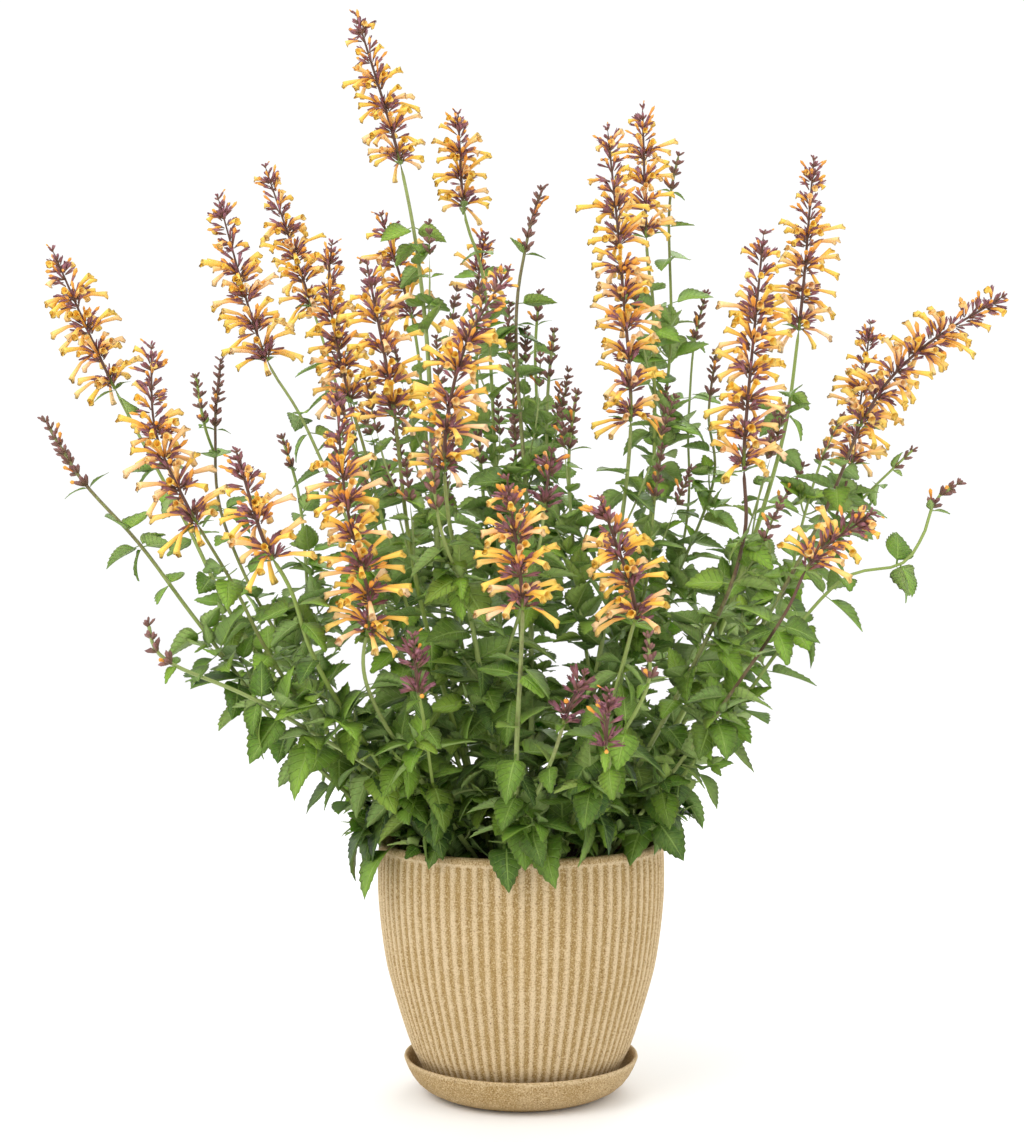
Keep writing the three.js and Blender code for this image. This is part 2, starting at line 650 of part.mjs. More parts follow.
// The leaf pairs of a shoot, each square to the one below and smaller, every leaf bent to where it has room.
function leafPairsOf(shoot, clearance) {
  const start = shoot.parent ? SIDE_FIRST_LEAF : FIRST_LEAF;
  const room = shoot.foot - start - 14;
  return Array.from({ length: shoot.pairs }, (_, pair) => {
    const at = start + room * (pair / (shoot.pairs - 0.6)) ** 1.2;
    const draw = new Draw(1000 + 20 * shoot.index + pair);
    const size = lerp(1, 0.62, at / shoot.foot) * (shoot.parent ? 0.8 : 1);
    const leaves = [pair % 2, (pair % 2) + 2].map((quarter) => {
      const length = draw.between(...LEAF_LENGTH) * size;
      const pose = {
        turn: draw.between(-0.35, 0.35),
        lift: draw.between(-0.1, 0.5),
        droop: draw.between(0.1, 1),
        roll: draw.between(-0.6, 0.6),
        bend: draw.between(0.2, 0.9),
      };
      return { quarter, leaf: leafWithRoom(shoot, at, quarter, length, pose, clearance) };
    });
    return { at, leaves: leaves.filter(({ leaf }) => leaf) };
  });
}

// A leaf turned, lifted or shortened to where it is clear of its neighbours, or null where no bend is.
function leafWithRoom(shoot, at, quarter, length, pose, clearance) {
  const owner = `${shoot.name} ${at} ${quarter}`;
  for (const [more, rise, share] of LEAF_BENDS) {
    const angle = ((quarter + 0.5) * Math.PI) / 2 + pose.turn + more;
    const out = shoot.reach(at, angle, pose.lift + rise, 1);
    out.z -= pose.droop;
    out.normalize();
    const up = UP.clone().projectOnPlane(out).normalize().applyAxisAngle(out, pose.roll);
    const leaf = new Leaf(shoot.point(at), out, up, length * share, pose.bend);
    const balls = leaf.balls();
    const offPot = balls.every(([centre, radius]) => clearOfPot(centre, radius));
    if (offPot && clearance.clear(owner, balls)) {
      clearance.add(owner, balls);
      return leaf;
    }
  }
  return null;
}

// Whether a ball is clear of the pot's wall and of the soil.
function clearOfPot(centre, radius) {
  const distance = Math.hypot(centre.x, centre.y);
  const rim = POT_PROFILE.at(-1)[0] + FLUTE_DEPTH;
  if (centre.z - radius > POT_TOP + 1) return true;
  const inside = distance + radius < rim - POT_WALL - 3 && centre.z - radius > SOIL_CROWN + 1;
  return inside || distance - radius > rim + 1;
}

// The plant in its pot

function piece(name, finish, geometry) {
  const mesh = new THREE.Mesh(geometry, new THREE.MeshStandardMaterial(FINISHES[finish]));
  mesh.name = name;
  return mesh;
}

function buildShoots() {
  const shoots = [];
  STEMS.forEach((row, i) => {
    shoots.push(new Shoot(row, i + 1, shoots.find((other) => other.name === row.on)));
  });
  return shoots;
}

const shoots = buildShoots();
const clearance = new Clearance();
shoots.forEach((shoot) => clearance.add(shoot.root.name, stemBalls(shoot)));

const potted = new THREE.Group();
potted.name = "potted_giant_hyssop";
potted.add(piece("saucer", "clay", saucerGeometry()));
potted.add(piece("pot", "clay", geometryOf(potSolid())));
const rooted = shoots.filter((shoot) => !shoot.parent);
potted.add(piece("soil", "soil", geometryOf(soilSolid(rooted.map(holeSolid)))));
shoots.filter((shoot) => shoot.bloom).forEach((shoot) => {
  potted.add(piece(`bloom_${shoot.name}`, "bloom", geometryOf(bloomSolid(shoot, clearance))));
});
const pairs = new Map(shoots.map((shoot) => [shoot, leafPairsOf(shoot, clearance)]));
rooted.forEach((root) => {
  const parts = shoots.filter((shoot) => shoot.root === root);
  const solids = parts.map((shoot) => stemSolid(shoot, pairs.get(shoot)));
  const whole = solids.reduce((sum, solid) => sum.add(solid));
  potted.add(piece(`stem_${root.name}`, "leaf", geometryOf(whole)));
});

export default potted;
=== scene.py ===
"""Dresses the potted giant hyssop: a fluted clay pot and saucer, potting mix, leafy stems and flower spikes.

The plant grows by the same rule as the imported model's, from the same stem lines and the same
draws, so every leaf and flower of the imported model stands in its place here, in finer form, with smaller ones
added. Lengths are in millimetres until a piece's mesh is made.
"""

import json
import logging
import math
from collections.abc import Callable
from dataclasses import dataclass, field
from enum import Enum

import bpy
import numpy as np
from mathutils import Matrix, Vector

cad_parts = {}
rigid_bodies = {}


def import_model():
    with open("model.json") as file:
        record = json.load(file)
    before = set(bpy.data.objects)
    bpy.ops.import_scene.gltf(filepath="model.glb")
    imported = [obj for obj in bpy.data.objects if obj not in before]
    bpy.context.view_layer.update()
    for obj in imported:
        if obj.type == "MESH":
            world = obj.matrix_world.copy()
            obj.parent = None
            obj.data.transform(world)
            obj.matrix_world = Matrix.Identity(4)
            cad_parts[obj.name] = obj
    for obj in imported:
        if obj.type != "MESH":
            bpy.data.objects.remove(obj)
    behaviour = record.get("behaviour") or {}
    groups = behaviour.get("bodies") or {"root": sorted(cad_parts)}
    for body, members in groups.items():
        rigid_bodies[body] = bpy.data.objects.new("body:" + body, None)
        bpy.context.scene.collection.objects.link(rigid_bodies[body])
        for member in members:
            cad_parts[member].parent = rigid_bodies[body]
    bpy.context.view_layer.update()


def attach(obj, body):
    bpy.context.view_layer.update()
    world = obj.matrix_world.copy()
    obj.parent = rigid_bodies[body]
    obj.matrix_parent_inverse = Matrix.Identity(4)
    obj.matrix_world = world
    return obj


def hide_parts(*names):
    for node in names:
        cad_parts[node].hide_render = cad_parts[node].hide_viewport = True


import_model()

log = logging.getLogger("hyssop")

MM = 0.001
ROOT_BODY = "root"

Point = np.ndarray
Ball = tuple[Point, float]
Range = tuple[float, float]
Place = tuple[float, float, float]
Colour = tuple[float, ...]
Material = bpy.types.Material
Node = bpy.types.Node
Socket = bpy.types.NodeSocket

UP = np.array([0.0, 0.0, 1.0])
QUARTER = math.pi / 2
CIRCLE = 2 * math.pi

# The front view's distance and level, in millimetres, which place the stems in depth.
VIEW_DISTANCE = 1690.0
VIEW_HEIGHT = 461.0

# How the plant grows, in millimetres.
STEM_TIP_RADIUS = 1.5
WHORL_SPACING = 25.0
YOUNG_SPIKE = 55.0
YOUNG_FLOWER = 0.5
TUFT_RADIUS = 5.0
FLOWER_RISE = 4.0
FLOWER_LENGTH = (31.0, 39.0)
FLOWER_MOUTH = 7.0
LEAF_LENGTH = (42.0, 60.0)
LEAF_WIDTH = 0.62
FIRST_LEAF = 44.0
SIDE_FIRST_LEAF = 16.0
POT_TOP = 223.0
POT_RIM_RADIUS = 126.5
POT_WALL = 8.0
FLUTE_DEPTH = 1.3
SOIL_CROWN = 207.0
TURN_STEP = 0.8

# What seeds the draws, apart from a stem's place in the table.
WHORL_SEED = 100
LEAF_SEED = 1000
SPIKE_SEED = 5000
FOLIAGE_SEED = 8000
LOW_SEED = 12000


def unit(vector: Point) -> Point:
    """Returns the vector at length one."""
    return vector / np.linalg.norm(vector)


def turned(vector: Point, axis: Point, angle: float) -> Point:
    """Returns the vector turned about a unit axis.

    Args:
        vector: what is turned.
        axis: the unit vector that it turns about.
        angle: in radians, by the right-hand rule.

    Returns:
        The turned vector.
    """
    cos, sin = math.cos(angle), math.sin(angle)
    return vector * cos + np.cross(axis, vector) * sin + axis * np.dot(axis, vector) * (1 - cos)


def lerp(low: float, high: float, share: float) -> float:
    """Returns the value at a share of the way from low to high."""
    return low + (high - low) * share


def through(before: Point, start: Point, end: Point, after: Point, share: float) -> Point:
    """Returns the point at a share of the way from start to end, on a smooth curve through all four."""
    t0, t1 = 0.5 * (end - before), 0.5 * (after - start)
    rest = (3 * (end - start) - 2 * t0 - t1) * share**2
    return start + t0 * share + rest + (2 * (start - end) + t0 + t1) * share**3


def held(value: float, low: float = 0, high: float = 1) -> float:
    """Returns the value, kept between a low and a high one."""
    return min(max(value, low), high)


def level_over(way: Point) -> Point:
    """Returns the unit vector that points up as nearly as it can while square to a way."""
    return unit(UP - way * way[2])


class Draw:
    """Random draws that come out the same on every run."""

    def __init__(self, seed: int) -> None:
        """Starts the draws from a seed."""
        self.state = (seed * 7919 + 104729) % 2147483647

    def between(self, low: float, high: float) -> float:
        """Returns a number from low to high."""
        self.state = (self.state * 16807) % 2147483647
        return low + ((high - low) * self.state) / 2147483647

    def chance(self, share: float) -> bool:
        """Returns whether something comes about that does so in a share of the cases."""
        return self.between(0, 1) < share


@dataclass
class StemRow:
    """One stem's line: points of [across, up, back] as seen from the front, in millimetres.

    A side stem names the stem that it grows on and its start, as a share of that stem's length.
    """

    name: str
    thick: float
    pairs: int
    spike: float
    at: list[Place]
    bloom: bool = False
    on: str = ""
    start: float = 0.0


STEMS = [
    StemRow("tall_left", 3.6, 5, 150,
        [(-30, 190, 22), (-70, 435, 75), (-84, 675, 119), (-105, 816, 131), (-146, 957, 138)], bloom=True),
    StemRow("slim_back", 2.4, 4, 96,
        [(-14, 190, 60), (-19, 471, 212), (-30, 702, 256), (-49, 779, 262), (-55, 869, 265)], bloom=True),
    StemRow("twin_back", 2.8, 4, 130,
        [(44, 190, 48), (112, 471, 188), (119, 675, 231), (113, 747, 238), (109, 873, 244)], bloom=True),
    StemRow("twin_front", 3.2, 4, 262,
        [(34, 190, -4), (72, 399, -6), (97, 577, 0), (90, 720, 6), (77, 855, 12)], bloom=True),
    StemRow("upright_right", 3.4, 4, 160,
        [(56, 190, 14), (159, 364, 62), (226, 551, 94), (247, 671, 100), (261, 828, 102)], bloom=True),
    StemRow("mid_right", 2.8, 4, 190,
        [(50, 190, -24), (160, 391, -119), (197, 488, -156), (198, 577, -169), (215, 762, -162)], bloom=True),
    StemRow("far_right", 3.2, 5, 168,
        [(64, 190, -8), (195, 382, -31), (266, 506, -50), (309, 604, -56), (355, 658, -60),
         (430, 706, -56)], bloom=True),
    StemRow("right_behind", 2.8, 4, 142,
        [(56, 190, 34), (190, 391, 138), (262, 471, 188), (291, 542, 206), (303, 613, 212),
         (312, 682, 212)], bloom=True),
    StemRow("low_right", 2.4, 4, 66,
        [(64, 190, -34), (159, 315, -150), (230, 417, -206), (259, 472, -225), (312, 513, -231)], bloom=True),
    StemRow("far_left", 3.2, 4, 132,
        [(-58, 190, 4), (-170, 305, 19), (-250, 410, 25), (-299, 506, 19), (-364, 629, 10),
         (-417, 747, 0)], bloom=True),
    StemRow("left_front", 2.8, 5, 150,
        [(-54, 190, -18), (-197, 346, -119), (-259, 453, -156), (-298, 520, -169),
         (-326, 586, -169), (-330, 662, -162)], bloom=True),
    StemRow("left_high", 3.0, 4, 145,
        [(-40, 190, -8), (-108, 391, -25), (-188, 582, -44), (-230, 658, -48), (-270, 794, -50)], bloom=True),
    StemRow("left_back", 3.0, 4, 148,
        [(-38, 190, 42), (-108, 425, 150), (-157, 604, 200), (-181, 684, 210), (-227, 822, 215)], bloom=True),
    StemRow("left_middle", 2.6, 4, 146,
        [(-22, 190, 8), (-103, 435, 31), (-139, 569, 44), (-152, 613, 48), (-170, 702, 50),
         (-168, 753, 52)], bloom=True),
    StemRow("left_column", 3.0, 4, 196,
        [(-30, 190, -48), (-133, 346, -188), (-136, 433, -219), (-157, 524, -225), (-166, 626, -212)],
         bloom=True),
    StemRow("centre_left", 2.6, 3, 106,
        [(-6, 190, 30), (-72, 488, 138), (-85, 595, 175), (-95, 680, 181), (-124, 779, 188)], bloom=True),
    StemRow("inner_left", 2.6, 4, 128,
        [(-20, 190, -28), (-90, 435, -88), (-115, 613, -110), (-138, 736, -112)], bloom=True),
    StemRow("centre_lean", 3.0, 4, 168,
        [(-6, 190, -36), (-45, 417, -150), (-65, 506, -181), (-68, 584, -194), (-50, 662, -194),
         (-12, 729, -188)], bloom=True),
    StemRow("back_centre", 2.4, 3, 70,
        [(8, 190, 68), (-32, 524, 294), (-38, 693, 312), (-30, 762, 315)], bloom=True),
    StemRow("front_centre", 2.8, 4, 98,
        [(-2, 190, -66), (-5, 293, -188), (-1, 391, -238), (-1, 448, -250), (-14, 544, -256)], bloom=True),
    StemRow("front_right", 2.8, 4, 98,
        [(30, 190, -58), (69, 310, -175), (95, 399, -212), (99, 437, -219), (69, 526, -225)], bloom=True),
    StemRow("front_left", 2.6, 4, 86,
        [(-56, 190, -40), (-170, 355, -188), (-206, 444, -225), (-230, 488, -235), (-255, 569, -238)],
         bloom=True),
    StemRow("green_centre", 3.2, 5, 64,
        [(10, 190, 18), (8, 471, 75), (-4, 666, 100), (5, 751, 102), (20, 804, 102)]),
    StemRow("thin_far_left", 2.2, 4, 68,
        [(-66, 190, -10), (-197, 302, -75), (-286, 413, -100), (-339, 484, -100), (-391, 542, -94),
         (-425, 597, -88)]),
    StemRow("fork_left", 2.4, 4, 68,
        [(-50, 190, 28), (-200, 380, 162), (-262, 500, 200), (-271, 585, 206), (-266, 650, 206)]),
    StemRow("thin_right_back", 2.2, 4, 52,
        [(50, 190, 62), (142, 471, 250), (150, 595, 288), (155, 662, 294), (166, 709, 298)]),
    StemRow("curl_right", 2.2, 5, 34,
        [(70, 190, -22), (177, 320, -88), (239, 404, -110), (288, 455, -115), (337, 467, -115),
         (357, 493, -115), (368, 524, -112), (392, 541, -112)]),
    StemRow("brown_centre", 2.4, 3, 112,
        [(6, 190, 44), (-1, 435, 150), (-4, 568, 181), (-9, 680, 188)]),
    StemRow("head_centre", 1.8, 1, 44,
        [(12, 470, -162), (20, 520, -148), (27, 569, -144)], bloom=True, on="centre_lean", start=0.3),
    StemRow("head_low_left", 1.8, 1, 48,
        [(-88, 330, -219), (-93, 355, -238), (-98, 404, -250)], bloom=True, on="left_column", start=0.22),
    StemRow("head_low_centre", 1.8, 1, 42,
        [(25, 290, -206), (40, 335, -238), (56, 371, -244)], bloom=True, on="front_centre", start=0.16),
    StemRow("head_low_right", 1.8, 1, 48,
        [(76, 285, -206), (74, 306, -256), (77, 355, -275)], bloom=True, on="front_right", start=0.2),
    StemRow("fork_left_small", 1.5, 0, 48,
        [(-281, 592, 181), (-289, 637, 175)], on="fork_left", start=0.84),
    StemRow("low_left", 1.8, 2, 40,
        [(-235, 345, -188), (-317, 382, -206), (-334, 417, -206)], on="front_left", start=0.3),
    StemRow("inner_left_back", 1.8, 1, 34,
        [(-190, 460, 219), (-197, 530, 238), (-212, 582, 238)], on="fork_left", start=0.42),
    StemRow("back_thin", 1.8, 1, 34,
        [(12, 560, 288), (14, 660, 306), (18, 711, 306)], on="back_centre", start=0.5),
    StemRow("centre_thin", 1.8, 1, 48,
        [(22, 500, 112), (24, 610, 138), (30, 677, 140)], on="green_centre", start=0.4),
    StemRow("twin_side", 1.8, 2, 54,
        [(48, 471, 50), (43, 560, 75), (50, 622, 78)], on="twin_front", start=0.24),
    StemRow("back_top_right", 1.8, 1, 40,
        [(134, 660, 269), (133, 780, 294), (142, 834, 298)], on="twin_back", start=0.5),
    StemRow("right_thin", 1.8, 1, 46,
        [(172, 540, 250), (168, 600, 256), (175, 657, 256)], on="thin_right_back", start=0.5),
    StemRow("right_inner", 1.8, 1, 48,
        [(112, 450, 106), (119, 520, 106), (126, 572, 106)], on="twin_back", start=0.3),
    StemRow("right_cluster", 1.8, 1, 48,
        [(200, 455, 131), (226, 510, 148), (253, 556, 150)], on="upright_right", start=0.38),
    StemRow("right_top_side", 1.8, 1, 50,
        [(250, 500, 150), (268, 560, 144), (287, 600, 140)], on="right_behind", start=0.55),
    StemRow("right_far_side", 1.6, 1, 30,
        [(300, 520, 231), (335, 555, 250), (351, 570, 256)], on="right_behind", start=0.62),
    StemRow("pink_side", 1.8, 0, 52,
        [(-73, 500, -231), (-83, 577, -250)], on="centre_lean", start=0.5),
    StemRow("front_right_side", 1.6, 1, 34,
        [(108, 350, -244), (112, 405, -256)], on="front_right", start=0.3),
]


def from_front(point: Place) -> Point:
    """Returns where a point is that is given by where it looks to be from the front.

    Args:
        point: how far across, up and back it is, in millimetres.

    Returns:
        The point.
    """
    across, up, back = point
    spread = 1 + back / VIEW_DISTANCE
    return np.array([across * spread, back, VIEW_HEIGHT + (up - VIEW_HEIGHT) * spread])


class Line:
    """A smooth curve through points, read by its length."""

    DIVISIONS = 400

    def __init__(self, points: list[Point]) -> None:
        """Measures the curve.

        Args:
            points: what it runs through.
        """
        self.points = [2 * points[0] - points[1], *points, 2 * points[-1] - points[-2]]
        self.spans = len(points) - 1
        self.shares = np.linspace(0, 1, self.DIVISIONS + 1)
        places = np.array([self.place(share) for share in self.shares])
        steps = np.linalg.norm(np.diff(places, axis=0), axis=1)
        self.lengths = np.concatenate([[0], np.cumsum(steps)])
        self.length = float(self.lengths[-1])

    def place(self, share: float) -> Point:
        """Returns the curve's point at a share of its parameter.

        Args:
            share: from nought to one.

        Returns:
            The point.
        """
        along = share * self.spans
        span = min(int(along), self.spans - 1)
        return through(*self.points[span : span + 4], along - span)

    def share_at(self, distance: float) -> float:
        """Returns the parameter's share at a distance along the curve."""
        return float(np.interp(distance, self.lengths, self.shares))

    def tangent(self, distance: float) -> Point:
        """Returns the way of the curve.

        Args:
            distance: the distance along it.

        Returns:
            The unit vector along it there.
        """
        share = self.share_at(distance)
        low, high = max(share - 1e-4, 0), min(share + 1e-4, 1)
        return unit(self.place(high) - self.place(low))


class Shoot:
    """A stem: its line, its square section's directions, and its thickness."""

    def __init__(self, row: StemRow, index: int, parent: "Shoot | None") -> None:
        """Lays the stem out.

        Args:
            row: the stem's line and sizes.
            index: the stem's place in the table, from one, which seeds its draws.
            parent: the stem that it grows from, or None where it is rooted in the soil.
        """
        self.row = row
        self.name = row.name
        self.index = index
        self.parent = parent
        points = [from_front(point) for point in row.at]
        if parent:
            points.insert(0, parent.point(row.start * parent.length))
        self.line = Line(points)
        self.length = self.line.length
        self.foot = self.length - row.spike
        self.turn = Draw(index).between(0, QUARTER)

    @property
    def root(self) -> "Shoot":
        """The rooted stem that this one grows from, or itself."""
        return self.parent.root if self.parent else self

    def point(self, distance: float) -> Point:
        """Returns the point at a distance along the stem, also a little past either end."""
        inside = held(distance, 0, self.length)
        return self.line.place(self.line.share_at(inside)) + self.along(inside) * (distance - inside)

    def along(self, distance: float) -> Point:
        """Returns the unit vector along the stem at a distance."""
        return self.line.tangent(held(distance, 0, self.length))

    def out(self, distance: float, angle: float) -> Point:
        """Returns a unit vector square to the stem.

        Args:
            distance: the distance along it.
            angle: how far the vector is turned about it.

        Returns:
            The unit vector.
        """
        along = self.along(distance)
        side = unit(np.cross(np.array([0.0, -1.0, 0.0]), along))
        return turned(side, along, self.turn + angle)

    def reach(self, distance: float, angle: float, lift: float, length: float) -> Point:
        """Returns a vector out from the stem at an angle round it, lifted towards its tip."""
        out = self.out(distance, angle) * math.cos(lift) * length
        return out + self.along(distance) * math.sin(lift) * length

    def radius(self, distance: float) -> float:
        """Returns half the stem's corner to corner thickness at a distance."""
        return lerp(self.row.thick, STEM_TIP_RADIUS, min(distance / self.foot, 1))


class Clearance:
    """Balls that stand for what has been placed, so that what comes later keeps clear of it."""

    MARGIN = 0.5
    ROOM = 20000

    def __init__(self) -> None:
        """Starts with room for every ball of the plant."""
        self.centres = np.zeros((self.ROOM, 3))
        self.radii = np.zeros(self.ROOM)
        self.owners = np.zeros(self.ROOM, dtype=int)
        self.numbers: dict[str, int] = {}
        self.count = 0

    def number(self, owner: str) -> int:
        """Returns the number that stands for an owner's name."""
        return self.numbers.setdefault(owner, len(self.numbers) + 1)

    def add(self, owner: str, balls: list[Ball]) -> None:
        """Adds balls.

        Args:
            owner: whose they are.
            balls: their centres and radii.
        """
        for centre, radius in balls:
            self.centres[self.count] = centre
            self.radii[self.count] = radius
            self.owners[self.count] = self.number(owner)
            self.count += 1

    def clear(self, owner: str, balls: list[Ball]) -> bool:
        """Tests balls against what has been placed.

        Args:
            owner: whose they are.
            balls: their centres and radii.

        Returns:
            Whether they are clear of everything that isn't their owner's own.
        """
        used = slice(0, self.count)
        others = self.owners[used] != self.number(owner)
        for centre, radius in balls:
            apart = np.linalg.norm(self.centres[used] - centre, axis=1)
            if np.any(others & (apart <= self.radii[used] + radius + self.MARGIN)):
                return False
        return True


def stem_balls(shoot: Shoot) -> list[Ball]:
    """Covers a stem, and its spike, which is wider for its tufts.

    Args:
        shoot: the stem.

    Returns:
        The balls along it.
    """
    spacing = 5
    stem_margin = 1.6
    tuft_margin = 3
    balls = []
    for step in range(int(shoot.length // spacing) + 1):
        at = step * spacing
        wide = shoot.radius(at) + stem_margin if at < shoot.foot - 2 else TUFT_RADIUS + tuft_margin
        balls.append((shoot.point(at), wide))
    return balls


@dataclass
class Whorl:
    """A ring of flowers round a spike, with how far up the spike it is, and the mouths of its set flowers."""

    at: float
    turn: float
    size: float
    ripe: float
    flowers: list["Point | None"]


# How a flower or leaf may turn and lift away from its neighbours, and the share of its length that it keeps.
FLOWER_BENDS = (
    *((0, 0, 1), (0.3, 0, 1), (-0.3, 0, 1), (0, 0.5, 1)),
    *((0, -0.4, 0.9), (0.2, 0.8, 0.8), (0, 0.3, 0.6)),
)
LEAF_BENDS = (
    *((0, 0, 1), (0.4, 0, 1), (-0.4, 0, 1), (0, 0.5, 1), (0, -0.5, 1), (0.7, 0.2, 0.9), (-0.7, 0.2, 0.9)),
    *((0, 0.3, 0.75), (0.5, 0.8, 0.75), (-0.5, -0.3, 0.75), (0.2, 0.5, 0.6)),
)


def whorls_of(shoot: Shoot, clearance: Clearance) -> list[Whorl]:
    """Lays out the whorls of a spike from its foot to its tip, with their set flowers where there is room.

    Args:
        shoot: the stem that carries the spike.
        clearance: what has been placed before.

    Returns:
        The whorls.
    """
    draw = Draw(WHORL_SEED + shoot.index)
    count = max(2, math.floor(shoot.row.spike / WHORL_SPACING + 0.5))
    closed = min(2, count // 3)
    grown = 1 if shoot.row.spike > YOUNG_SPIKE else YOUNG_FLOWER
    whorls = []
    for i in range(count):
        at = shoot.foot + 2 + (i * (shoot.row.spike - 4)) / count
        turn = i * TURN_STEP
        opened = i < count - closed
        size = 1 if opened else 0.75 - 0.2 * (i - count + closed)
        flowers = []
        for k in range(4):
            angle = turn + (k + 0.4) * QUARTER + draw.between(-0.15, 0.15)
            lift = math.radians(draw.between(0, 38))
            length = draw.between(*FLOWER_LENGTH) * grown
            seen = None
            if opened:
                seen = flower_with_room(shoot, at + FLOWER_RISE, angle, lift, length, clearance)
            flowers.append(seen)
        whorls.append(Whorl(at, turn, size, i / (count - 1), flowers))
    return whorls


def flower_with_room(
    shoot: Shoot, at: float, angle: float, lift: float, length: float, clearance: Clearance
) -> "Point | None":
    """Returns the middle of a flower's mouth, bent to where it is clear of its neighbours.

    Args:
        shoot: the stem that carries the spike.
        at: the flower's distance along it.
        angle: its angle round the stem.
        lift: its lift towards the tip.
        length: its length.
        clearance: what has been placed before it.

    Returns:
        The mouth's middle, or None where none of its bends is clear.
    """
    owner = f"{shoot.name} bloom"
    for turn, rise, share in FLOWER_BENDS:
        reach = shoot.reach(at, angle + turn, lift + rise, length * share)
        root = shoot.point(at)
        widest = FLOWER_MOUTH / 2 + 0.5
        balls = [(root + reach * part, lerp(1.5, widest, part)) for part in (0.4, 0.6, 0.8, 1)]
        if clearance.clear(owner, balls):
            clearance.add(owner, balls)
            return root + reach
    return None


class Blade:
    """A leaf's shape in space: where it starts, which way it runs, how long it is and how it bends."""

    FOLD = 0.3
    MIDDLE_BALLS = ((0.4, 0.42), (0.6, 0.38), (0.8, 0.24), (0.96, 0.1))
    SIDE_BALLS = ((0.36, 0.4), (0.56, 0.3))
    SIDE = 0.62

    def __init__(self, root: Point, out: Point, up: Point, length: float, bend: float) -> None:
        """Sets the leaf out.

        Args:
            root: where it starts.
            out: the unit vector that it starts along.
            up: the unit vector square to its face.
            length: its length.
            bend: the angle that it bends down by over its length.
        """
        self.root = root
        self.out = out
        self.up = up
        self.length = length
        self.bend = bend
        self.side = np.cross(up, out)
        self.half_width = LEAF_WIDTH * length / 2

    def at(self, share: "float | Point", left: "float | Point", off: "float | Point") -> Point:
        """Returns points of the leaf.

        Args:
            share: shares of its length.
            left: distances to the left of its rib.
            off: heights off its blade.

        Returns:
            The points, one row each.
        """
        share, left, off = (np.atleast_1d(np.asarray(value, dtype=float)) for value in (share, left, off))
        angle = self.bend * share
        forward = self.length * share * np.cos(angle / 2) + off * np.sin(angle)
        rise = self.FOLD * np.abs(left) - self.length * share * np.sin(angle / 2) + off * np.cos(angle)
        return self.root + np.outer(forward, self.out) + np.outer(left, self.side) + np.outer(rise, self.up)

    def balls(self) -> list[Ball]:
        """Covers the blade.

        Returns:
            The balls, down its middle and along both sides.
        """
        balls = [(self.at(share, 0, 0)[0], size * self.half_width + 1) for share, size in self.MIDDLE_BALLS]
        for left in (-self.SIDE, self.SIDE):
            for share, size in self.SIDE_BALLS:
                centre = self.at(share, left * self.half_width, 0)[0]
                balls.append((centre, size * self.half_width + 0.6))
        return balls

    def misses_pot(self) -> bool:
        """Returns whether the blade is clear of the pot's wall and of the soil."""
        return all(clear_of_pot(*ball) for ball in self.balls())


@dataclass
class Pair:
    """A node's two leaves, each where it has room, and the node's distance along the stem."""

    at: float
    leaves: list["Blade | None"]


def clear_of_pot(centre: Point, radius: float) -> bool:
    """Tests a ball against the pot's wall and the soil.

    Args:
        centre: the ball's centre.
        radius: its radius.

    Returns:
        Whether it is clear of both.
    """
    distance = math.hypot(centre[0], centre[1])
    rim = POT_RIM_RADIUS + FLUTE_DEPTH
    if centre[2] - radius > POT_TOP + 1:
        return True
    inside = distance + radius < rim - POT_WALL - 3 and centre[2] - radius > SOIL_CROWN + 1
    return inside or distance - radius > rim + 1


def leaf_pairs_of(shoot: Shoot, clearance: Clearance) -> list[Pair]:
    """Lays out the leaf pairs of a shoot, each square to the one below and smaller.

    Args:
        shoot: the stem that carries them.
        clearance: what has been placed before.

    Returns:
        The pairs, from the lowest up.
    """
    start = SIDE_FIRST_LEAF if shoot.parent else FIRST_LEAF
    room = shoot.foot - start - 14
    pairs = []
    for number in range(shoot.row.pairs):
        at = start + room * (number / (shoot.row.pairs - 0.6)) ** 1.2
        draw = Draw(LEAF_SEED + 20 * shoot.index + number)
        size = lerp(1, 0.62, at / shoot.foot) * (0.8 if shoot.parent else 1)
        leaves = []
        for quarter in (number % 2, number % 2 + 2):
            length = draw.between(*LEAF_LENGTH) * size
            turn = draw.between(-0.35, 0.35)
            lift = draw.between(-0.1, 0.5)
            droop = draw.between(0.1, 1)
            roll = draw.between(-0.6, 0.6)
            bend = draw.between(0.2, 0.9)
            pose = (turn, lift, droop, roll, bend)
            leaves.append(leaf_with_room(shoot, at, quarter, length, pose, clearance))
        pairs.append(Pair(at, leaves))
    return pairs


def leaf_with_room(
    shoot: Shoot, at: float, quarter: int, length: float, pose: tuple[float, ...], clearance: Clearance
) -> "Blade | None":
    """Returns a leaf turned, lifted or shortened to where it is clear of its neighbours.

    Args:
        shoot: the stem that carries it.
        at: the node's distance along the stem.
        quarter: the side of the square stem that it faces.
        length: the leaf's length.
        pose: its turn, lift, droop, roll and bend.
        clearance: what has been placed before it.

    Returns:
        The leaf, or None where none of its bends is clear.
    """
    turn, lift, droop, roll, bend = pose
    owner = f"{shoot.name} {at} {quarter}"
    for more, rise, share in LEAF_BENDS:
        out = shoot.reach(at, (quarter + 0.5) * QUARTER + turn + more, lift + rise, 1)
        out = unit(out - UP * droop)
        blade = Blade(shoot.point(at), out, turned(level_over(out), out, roll), length * share, bend)
        balls = blade.balls()
        if all(clear_of_pot(*ball) for ball in balls) and clearance.clear(owner, balls):
            clearance.add(owner, balls)
            return blade
    return None


class Slot(Enum):
    """The record's material slots."""

    CLAY = "clay"
    SOIL = "soil"
    FOLIAGE = "foliage"
    FLOWER = "flower"


